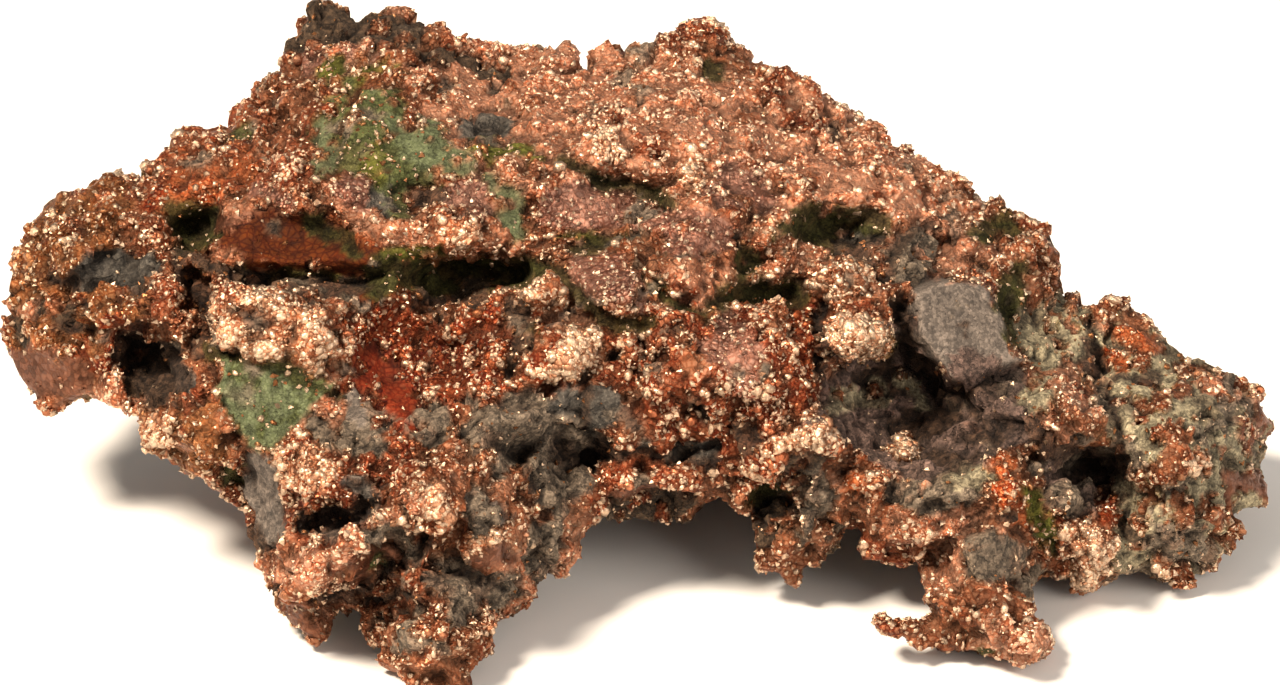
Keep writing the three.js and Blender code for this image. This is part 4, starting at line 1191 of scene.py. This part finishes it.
    @staticmethod
    def face_relief(place: np.ndarray, drawn: np.ndarray) -> np.ndarray:
        """How far the face's knobs stand out and its crevices lie back, in millimetres.

        Args:
            place: The points in millimetres.
            drawn: The same points on the face: across, up and out.

        Returns:
            The sum of the knobs, which fade by their radius, less the deepest crevice.
        """
        across = drawn[:, 0] + KNOB_SHIFT_MM * KNOB_ACROSS.at(place)
        up = drawn[:, 1] + KNOB_SHIFT_MM * KNOB_UP.at(place)
        ragged = 0.45 * KNOB_RAGGED.at(place)
        knobs = sum(
            height * (1.0 - smooth_step(*KNOB_EDGE, form_radius(tuple(form), across, up)))
            for *form, height in KNOBS
        )
        clefts = []
        for _, half_width, deep, line in CREVICES:
            radius = line_radius(line, half_width, across, up) + ragged
            clefts.append(0.65 * deep * (1.0 - smooth_step(*CLEFT_EDGE, radius)))
        return knobs - np.max(clefts, axis=0)

    def flatten(self, surface: Surface) -> None:
        """Presses the flat faces of blocks and plates into planes.

        The plane is the least-squares fit of out against across and up inside the outline,
        lifted by the facet's height; the move fades by the smooth step of the edge distance.
        Rounds of smoothing then take the folds out, and a second pass sharpens the edges.
        """
        seen = smooth_step(*SEEN_FACETS, surface.normals @ FACE_OUT)
        wander = 0.12 * PRESS_WANDER.at(surface.points / MM)
        for rounds in PRESS_ROUNDS:
            drawn = self.face.drawn(surface.points)
            before = drawn[:, 2].copy()
            pressed = np.zeros(len(drawn))
            base = np.column_stack((drawn[:, :2], np.ones(len(drawn))))
            for _, lift, flat, corners in FACETS:
                edge = edge_distance(corners, drawn[:, 0], drawn[:, 1]) + wander
                inner = (edge < 0.0) & (seen > 0.5)
                plane = np.linalg.lstsq(base[inner], drawn[inner, 2], rcond=None)[0]
                share = flat * (1.0 - smooth_step(*PRESS_EDGE_MM, edge)) * seen
                drawn[:, 2] += share * (base @ plane + lift - drawn[:, 2])
                pressed = np.maximum(pressed, share)
            surface.points += FACE_OUT * ((drawn[:, 2] - before) * MM)[:, None]
            pull = 0.6 * pressed[:, None]
            surface.points = smoothed(surface.points, surface.edges, rounds, pull)

    @staticmethod
    def hollows(surface: Surface, rounds: int) -> np.ndarray:
        """How far each point lies behind the smoothed surface, along its normal, in mm."""
        inward = smoothed(surface.points, surface.edges, rounds) - surface.points
        return np.einsum("ij,ij->i", inward, surface.normals) / MM

    def weather_and_shade(self, surface: Surface) -> None:
        """Paints shade into the hollows and crevices, clears them of grains and brightens the
        crests.

        Hollows are broad after many rounds of smoothing and fine after a few. Malachite takes
        less of the painted shade.
        """
        place = surface.points / MM
        broad = self.hollows(surface, BROAD_ROUNDS)
        fine = self.hollows(surface, FINE_ROUNDS)
        glow = 1.0 + 0.14 * GLOW_FINE.at(place) + 0.16 * GLOW_BROAD.at(place)
        surface.tint *= np.clip(glow, 0.5, 1.5)[:, None]
        deep = smooth_step(*DEEP_MM, broad)
        crevice = smooth_step(*CREVICE_MM, fine)
        # Painted shade: darker in broad hollows and in fine crevices.
        hollow_shade = 1.0 - (1.0 - 0.55 * deep) * (1.0 - 0.70 * crevice)
        hollow_shade *= 1.0 - 0.45 * surface.minerals[:, Mineral.MALACHITE.value]
        surface.tint += hollow_shade[:, None] * (linear_rgb(HOLLOW_SHADE) - surface.tint)
        crest = smooth_step(*CREST_MM, -fine)
        surface.tint *= (1.0 + 0.35 * crest)[:, None]
        open_air = (1.0 - 0.85 * deep) * (1.0 - 0.9 * smooth_step(*CLEARED_MM, fine))
        open_air *= 0.7 + 0.8 * crest
        surface.grains *= open_air * (0.35 + GRAIN_ZONES.at(place))

    def dress(self, skin: bpy.types.Object) -> None:
        """Gives the skin its four materials, one to a face, and its painted attributes."""
        mesh = skin.data
        surface = self.surface
        for finish in (NATIVE_COPPER, COPPER_OXIDE, MALACHITE_CRUST, HOST_ROCK):
            mesh.materials.append(finish.material())
        metal = surface.minerals[:, Mineral.COPPER.value]
        bare_grain = np.clip(0.12 + 1.3 * surface.grains, 0.0, 1.0)
        paint_points(mesh, surface.tint)
        paint_values(mesh, "grain", metal * bare_grain + (1.0 - metal) * 0.8)
        paint_values(mesh, "relief", surface.relief)
        loops = read_rows(mesh.loops, "vertex_index", 1, np.int32)[:, 0]
        starts = read_rows(mesh.polygons, "loop_start", 1, np.int32)[:, 0]
        opposite = surface.minerals[loops[starts]] + surface.minerals[loops[starts + 2]]
        mesh.polygons.foreach_set("material_index", opposite.argmax(axis=1).astype(np.int32))
        mesh.polygons.foreach_set("use_smooth", np.ones(len(mesh.polygons), dtype=bool))
        mesh.update()


GOLDEN_RATIO = (1.0 + math.sqrt(5.0)) / 2.0

# About how far the corners of both shapes lie from their middle, before they are scaled.
CORNER_RADIUS = 1.9


class Crystal(Enum):
    """The crystal shapes of copper: corner points and triangles."""

    BEAD = (
        ((-1, GOLDEN_RATIO, 0), (1, GOLDEN_RATIO, 0),
         (-1, -GOLDEN_RATIO, 0), (1, -GOLDEN_RATIO, 0),
         (0, -1, GOLDEN_RATIO), (0, 1, GOLDEN_RATIO),
         (0, -1, -GOLDEN_RATIO), (0, 1, -GOLDEN_RATIO),
         (GOLDEN_RATIO, 0, -1), (GOLDEN_RATIO, 0, 1),
         (-GOLDEN_RATIO, 0, -1), (-GOLDEN_RATIO, 0, 1)),
        ((0, 11, 5), (0, 5, 1), (0, 1, 7), (0, 7, 10), (0, 10, 11),
         (1, 5, 9), (5, 11, 4), (11, 10, 2), (10, 7, 6), (7, 1, 8),
         (3, 9, 4), (3, 4, 2), (3, 2, 6), (3, 6, 8), (3, 8, 9),
         (4, 9, 5), (2, 4, 11), (6, 2, 10), (8, 6, 7), (9, 8, 1)),
    )
    OCTAHEDRON = (
        ((CORNER_RADIUS, 0, 0), (-CORNER_RADIUS, 0, 0), (0, CORNER_RADIUS, 0),
         (0, -CORNER_RADIUS, 0), (0, 0, CORNER_RADIUS), (0, 0, -CORNER_RADIUS)),
        ((0, 2, 4), (2, 1, 4), (1, 3, 4), (3, 0, 4),
         (2, 0, 5), (1, 2, 5), (3, 1, 5), (0, 3, 5)),
    )


@dataclass(frozen=True)
class GrainSet:
    """One joined mesh of crystals: their shape, number, sizes and where they gather.

    A higher gather keeps them to the places with the most grains. With a spacing, no two of
    them share a cell of that width.
    """

    name: str
    crystal: Crystal
    count: int
    size_mm: tuple[float, float]
    seed: int
    gather: float
    spacing_mm: float = 0.0


# Real grains go finer still; the smallest are drawn at 0.2 mm so that they stay in the limit
# on triangles.
GRAIN_SETS: tuple[GrainSet, ...] = (
    GrainSet("grains_pebbles", Crystal.BEAD, 9000, (0.50, 0.95), 1, 3.0, 0.55),
    GrainSet("grains_beads_1", Crystal.BEAD, 7000, (0.20, 0.65), 2, 1.3),
    GrainSet("grains_beads_2", Crystal.BEAD, 7000, (0.20, 0.65), 3, 1.3),
    GrainSet("grains_flakes_1", Crystal.OCTAHEDRON, 22000, (0.20, 0.58), 4, 1.0),
    GrainSet("grains_flakes_2", Crystal.OCTAHEDRON, 22000, (0.20, 0.58), 5, 0.8),
)

# How far corners are broken out of shape, for packed grains and for loose ones.
PACKED_BREAK = 0.3
LOOSE_BREAK = 0.8

# How deep a grain is set in the skin, as a share of its size.
SUNK_SHARE = 0.08

# The share of grains with a clean top, and the colour that it reflects.
GLINT_SHARE = 0.65
GLINT = "#f6d6b4"


@dataclass
class CrystalGrains:
    """Copper crystals that stand on the skin, joined in one mesh."""

    skin: bpy.types.Object
    surface: Surface
    grains: GrainSet
    material: bpy.types.Material
    stream: np.random.Generator = field(init=False)

    def build(self) -> bpy.types.Object:
        """Builds the joined mesh: every crystal's corners turned, scaled and set on the skin."""
        self.stream = np.random.default_rng(self.grains.seed)
        spots, normals, tints = self.choose()
        count = len(spots)
        corners = np.array(self.grains.crystal.value[0], dtype=float)
        faces = np.array(self.grains.crystal.value[1], dtype=np.int32)
        turns = self.random_turns(count)
        low, high = self.grains.size_mm
        size = low + (high - low) * self.stream.random(count) ** 2.0
        stretch = 0.5 + 1.0 * self.stream.random((count, 1, 3))
        most = PACKED_BREAK if self.grains.spacing_mm else LOOSE_BREAK
        broken = most * (self.stream.random((count, len(corners), 3)) - 0.5)
        scale = (0.5 * size / CORNER_RADIUS * MM)[:, None, None]
        placed = np.einsum("nij,nkj->nki", turns, (corners[None] + broken) * stretch * scale)
        placed += (spots - normals * (SUNK_SHARE * size * MM)[:, None])[:, None, :]
        index = faces[None] + (np.arange(count) * len(corners))[:, None, None]
        mesh = bpy.data.meshes.new(self.grains.name)
        mesh.from_pydata(placed.reshape(-1, 3), [], index.reshape(-1, 3))
        piece = bpy.data.objects.new(self.grains.name, mesh)
        bpy.context.scene.collection.objects.link(piece)
        self.dress(mesh, tints, len(corners))
        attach(piece, "root")
        return piece

    def choose(self) -> tuple[np.ndarray, np.ndarray, np.ndarray]:
        """Picks places on the skin's faces, by area times grain cover to the power gather.

        Returns:
            The places, their normals and the colours below; copper where rock lies below.
            With a spacing, only the place nearest to the middle of each cell stays.
        """
        mesh = self.skin.data
        loops = read_rows(mesh.loops, "vertex_index", 1, np.int32)[:, 0]
        starts = read_rows(mesh.polygons, "loop_start", 1, np.int32)[:, 0]
        area = read_rows(mesh.polygons, "area", 1, np.float64)[:, 0]
        quads = np.stack([loops[starts + k] for k in range(4)], axis=1)
        points = read_rows(mesh.vertices, "co", 3, np.float64)
        facing = read_rows(mesh.polygons, "normal", 3, np.float64)
        chance = area * self.surface.grains[quads].mean(axis=1) ** self.grains.gather
        chance *= smooth_step(*GRAIN_FLOOR_MM, points[quads[:, 0], 2] / MM)
        picked = self.stream.choice(len(chance), self.grains.count, p=chance / chance.sum())
        share = self.stream.dirichlet(np.ones(4), self.grains.count)
        spots = np.einsum("nk,nkj->nj", share, points[quads[picked]])
        tints = np.einsum("nk,nkj->nj", share, self.surface.tint[quads[picked]])
        copper = self.surface.minerals[:, Mineral.COPPER.value]
        metal = copper[quads[picked]].mean(axis=1)[:, None]
        tints = metal * tints + (1.0 - metal) * linear_rgb(Tone.GOLDEN.value.colour)
        normals = facing[picked]
        if self.grains.spacing_mm:
            cells = spots / (self.grains.spacing_mm * MM)
            inward = np.argsort(np.linalg.norm(cells - np.floor(cells) - 0.5, axis=1))
            _, first = np.unique(np.floor(cells[inward]), axis=0, return_index=True)
            kept = inward[first]
            return spots[kept], normals[kept], tints[kept]
        return spots, normals, tints

    def random_turns(self, count: int) -> np.ndarray:
        """Even random rotations: matrices of unit quaternions drawn from a normal spread."""
        q = self.stream.normal(size=(count, 4))
        w, x, y, z = (q / np.linalg.norm(q, axis=1, keepdims=True)).T
        rows = (
            (1 - 2 * (y * y + z * z), 2 * (x * y - w * z), 2 * (x * z + w * y)),
            (2 * (x * y + w * z), 1 - 2 * (x * x + z * z), 2 * (y * z - w * x)),
            (2 * (x * z - w * y), 2 * (y * z + w * x), 1 - 2 * (x * x + y * y)),
        )
        return np.stack([np.stack(row, axis=1) for row in rows], axis=1)

    def dress(self, mesh: bpy.types.Mesh, tints: np.ndarray, corners: int) -> None:
        """Gives each crystal the tint below it or a glint, with a brightness of its own.

        Args:
            mesh: The joined mesh.
            tints: The colour below each crystal.
            corners: How many points a crystal has.
        """
        mesh.materials.append(self.material)
        count = len(tints)
        glint = (self.stream.random(count) < GLINT_SHARE)[:, None]
        clean = 0.25 * tints ** 0.6 + 0.75 * linear_rgb(GLINT) * tints[:, :1] ** 0.35
        mixed = np.where(glint, clean, tints)
        mixed *= (0.7 + 0.6 * self.stream.random(count))[:, None]
        paint_points(mesh, np.repeat(np.clip(mixed, 0.0, 1.0), corners, axis=0))
        paint_values(mesh, "relief", np.ones(len(mesh.vertices)))
        rounded = np.full(len(mesh.polygons), self.grains.crystal is Crystal.BEAD)
        mesh.polygons.foreach_set("use_smooth", rounded)
        mesh.update()


@dataclass
class Studio:
    """A pale floor, soft light from the upper left, and a long lens square to the face."""

    face: Face
    lens_mm: float = 400.0
    sensor_mm: float = 36.0
    floor_half_m: float = 4.0

    def build(self) -> None:
        """Sets up the floor, the lamps, the sky and the camera."""
        self.floor()
        centre = self.face.centre()
        self.lamp("key", (-0.34, -0.20, 0.62), centre, 0.16, 11.4, "#ffeeda")
        self.lamp("fill", (0.55, -0.45, 0.35), centre, 0.50, 4.6, "#fff3e8")
        self.sky("#f4f1ec", 0.38)
        self.camera(centre)
        bpy.context.scene.view_settings.view_transform = "Standard"

    def floor(self) -> None:
        """A flat pale floor under the lump, wide enough to fill the frame."""
        mesh = bpy.data.meshes.new("floor")
        half = self.floor_half_m
        corners = [(-half, -half, 0), (half, -half, 0), (half, half, 0), (-half, half, 0)]
        mesh.from_pydata(corners, [], [(0, 1, 2, 3)])
        mesh.materials.append(self.floor_paper())
        floor = bpy.data.objects.new("floor", mesh)
        bpy.context.scene.collection.objects.link(floor)

    @staticmethod
    def floor_paper() -> bpy.types.Material:
        """Matt pale paper, with clouds too faint to draw the eye."""
        made = bpy.data.materials.new("pale_floor")
        made.use_nodes = True
        tree = made.node_tree
        shader = tree.nodes["Principled BSDF"]
        shader.inputs["Roughness"].default_value = 0.9
        place = add_node(tree, "ShaderNodeTexCoord")
        noise = add_node(tree, "ShaderNodeTexNoise", {}, {
            "Vector": place.outputs["Object"], "Scale": 1.0 / (FLOOR_CLOUD_MM * MM)})
        ramp = add_node(tree, "ShaderNodeValToRGB", {}, {"Fac": noise.outputs["Fac"]})
        for element, colour in zip(ramp.color_ramp.elements, FLOOR_COLOURS):
            element.color = (*linear_rgb(colour), 1.0)
        tree.links.new(ramp.outputs["Color"], shader.inputs["Base Color"])
        return made

    @staticmethod
    def lamp(name: str, place: tuple[float, float, float], target: Vector, size: float,
             power: float, colour: str) -> None:
        """A square soft lamp aimed at the lump.

        Args:
            name: The lamp's name.
            place: Where it stands, in metres.
            target: Where it points.
            size: Its width in metres.
            power: Its power in watts.
            colour: Its sRGB colour.
        """
        data = bpy.data.lights.new(name, "AREA")
        data.size = size
        data.energy = power
        data.color = linear_rgb(colour)
        lamp = bpy.data.objects.new(name, data)
        lamp.location = Vector(place)
        lamp.rotation_euler = (target - Vector(place)).to_track_quat("-Z", "Y").to_euler()
        bpy.context.scene.collection.objects.link(lamp)

    @staticmethod
    def sky(colour: str, strength: float) -> None:
        """An even pale sky."""
        world = bpy.data.worlds.new("studio")
        world.use_nodes = True
        back = world.node_tree.nodes["Background"]
        back.inputs["Color"].default_value = (*linear_rgb(colour), 1.0)
        back.inputs["Strength"].default_value = strength
        bpy.context.scene.world = world

    def camera(self, centre: Vector) -> None:
        """A long lens from the front, above the horizon, framing the photograph's width."""
        data = bpy.data.cameras.new("camera")
        data.lens = self.lens_mm
        data.sensor_width = self.sensor_mm
        data.clip_start = CLIP_START_M
        camera = bpy.data.objects.new("camera", data)
        distance = FRAME_WIDTH_MM * MM * self.lens_mm / self.sensor_mm
        camera.location = centre + Vector(FACE_OUT) * distance
        camera.rotation_euler = (math.pi / 2.0 - FACE_ELEVATION, 0.0, 0.0)
        bpy.context.scene.collection.objects.link(camera)
        bpy.context.scene.camera = camera


def main() -> None:
    """Builds the skin, the grains and the studio, and reports each piece."""
    logging.basicConfig(level=logging.INFO, format="%(name)s: %(message)s")
    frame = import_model()
    node = frame["nodes"][NODE]
    face = Face.of(read_rows(node.data.vertices, "co", 3, np.float64))
    ore = OreSkin(node, face)
    skin = ore.build()
    crystal_copper = COPPER_CRYSTAL.material()
    pieces = [skin]
    for grains in GRAIN_SETS:
        pieces.append(CrystalGrains(skin, ore.surface, grains, crystal_copper).build())
    Studio(face).build()
    for piece in pieces:
        LOG.info("%s: %d faces", piece.name, len(piece.data.polygons))


if __name__ == "__main__":
    main()
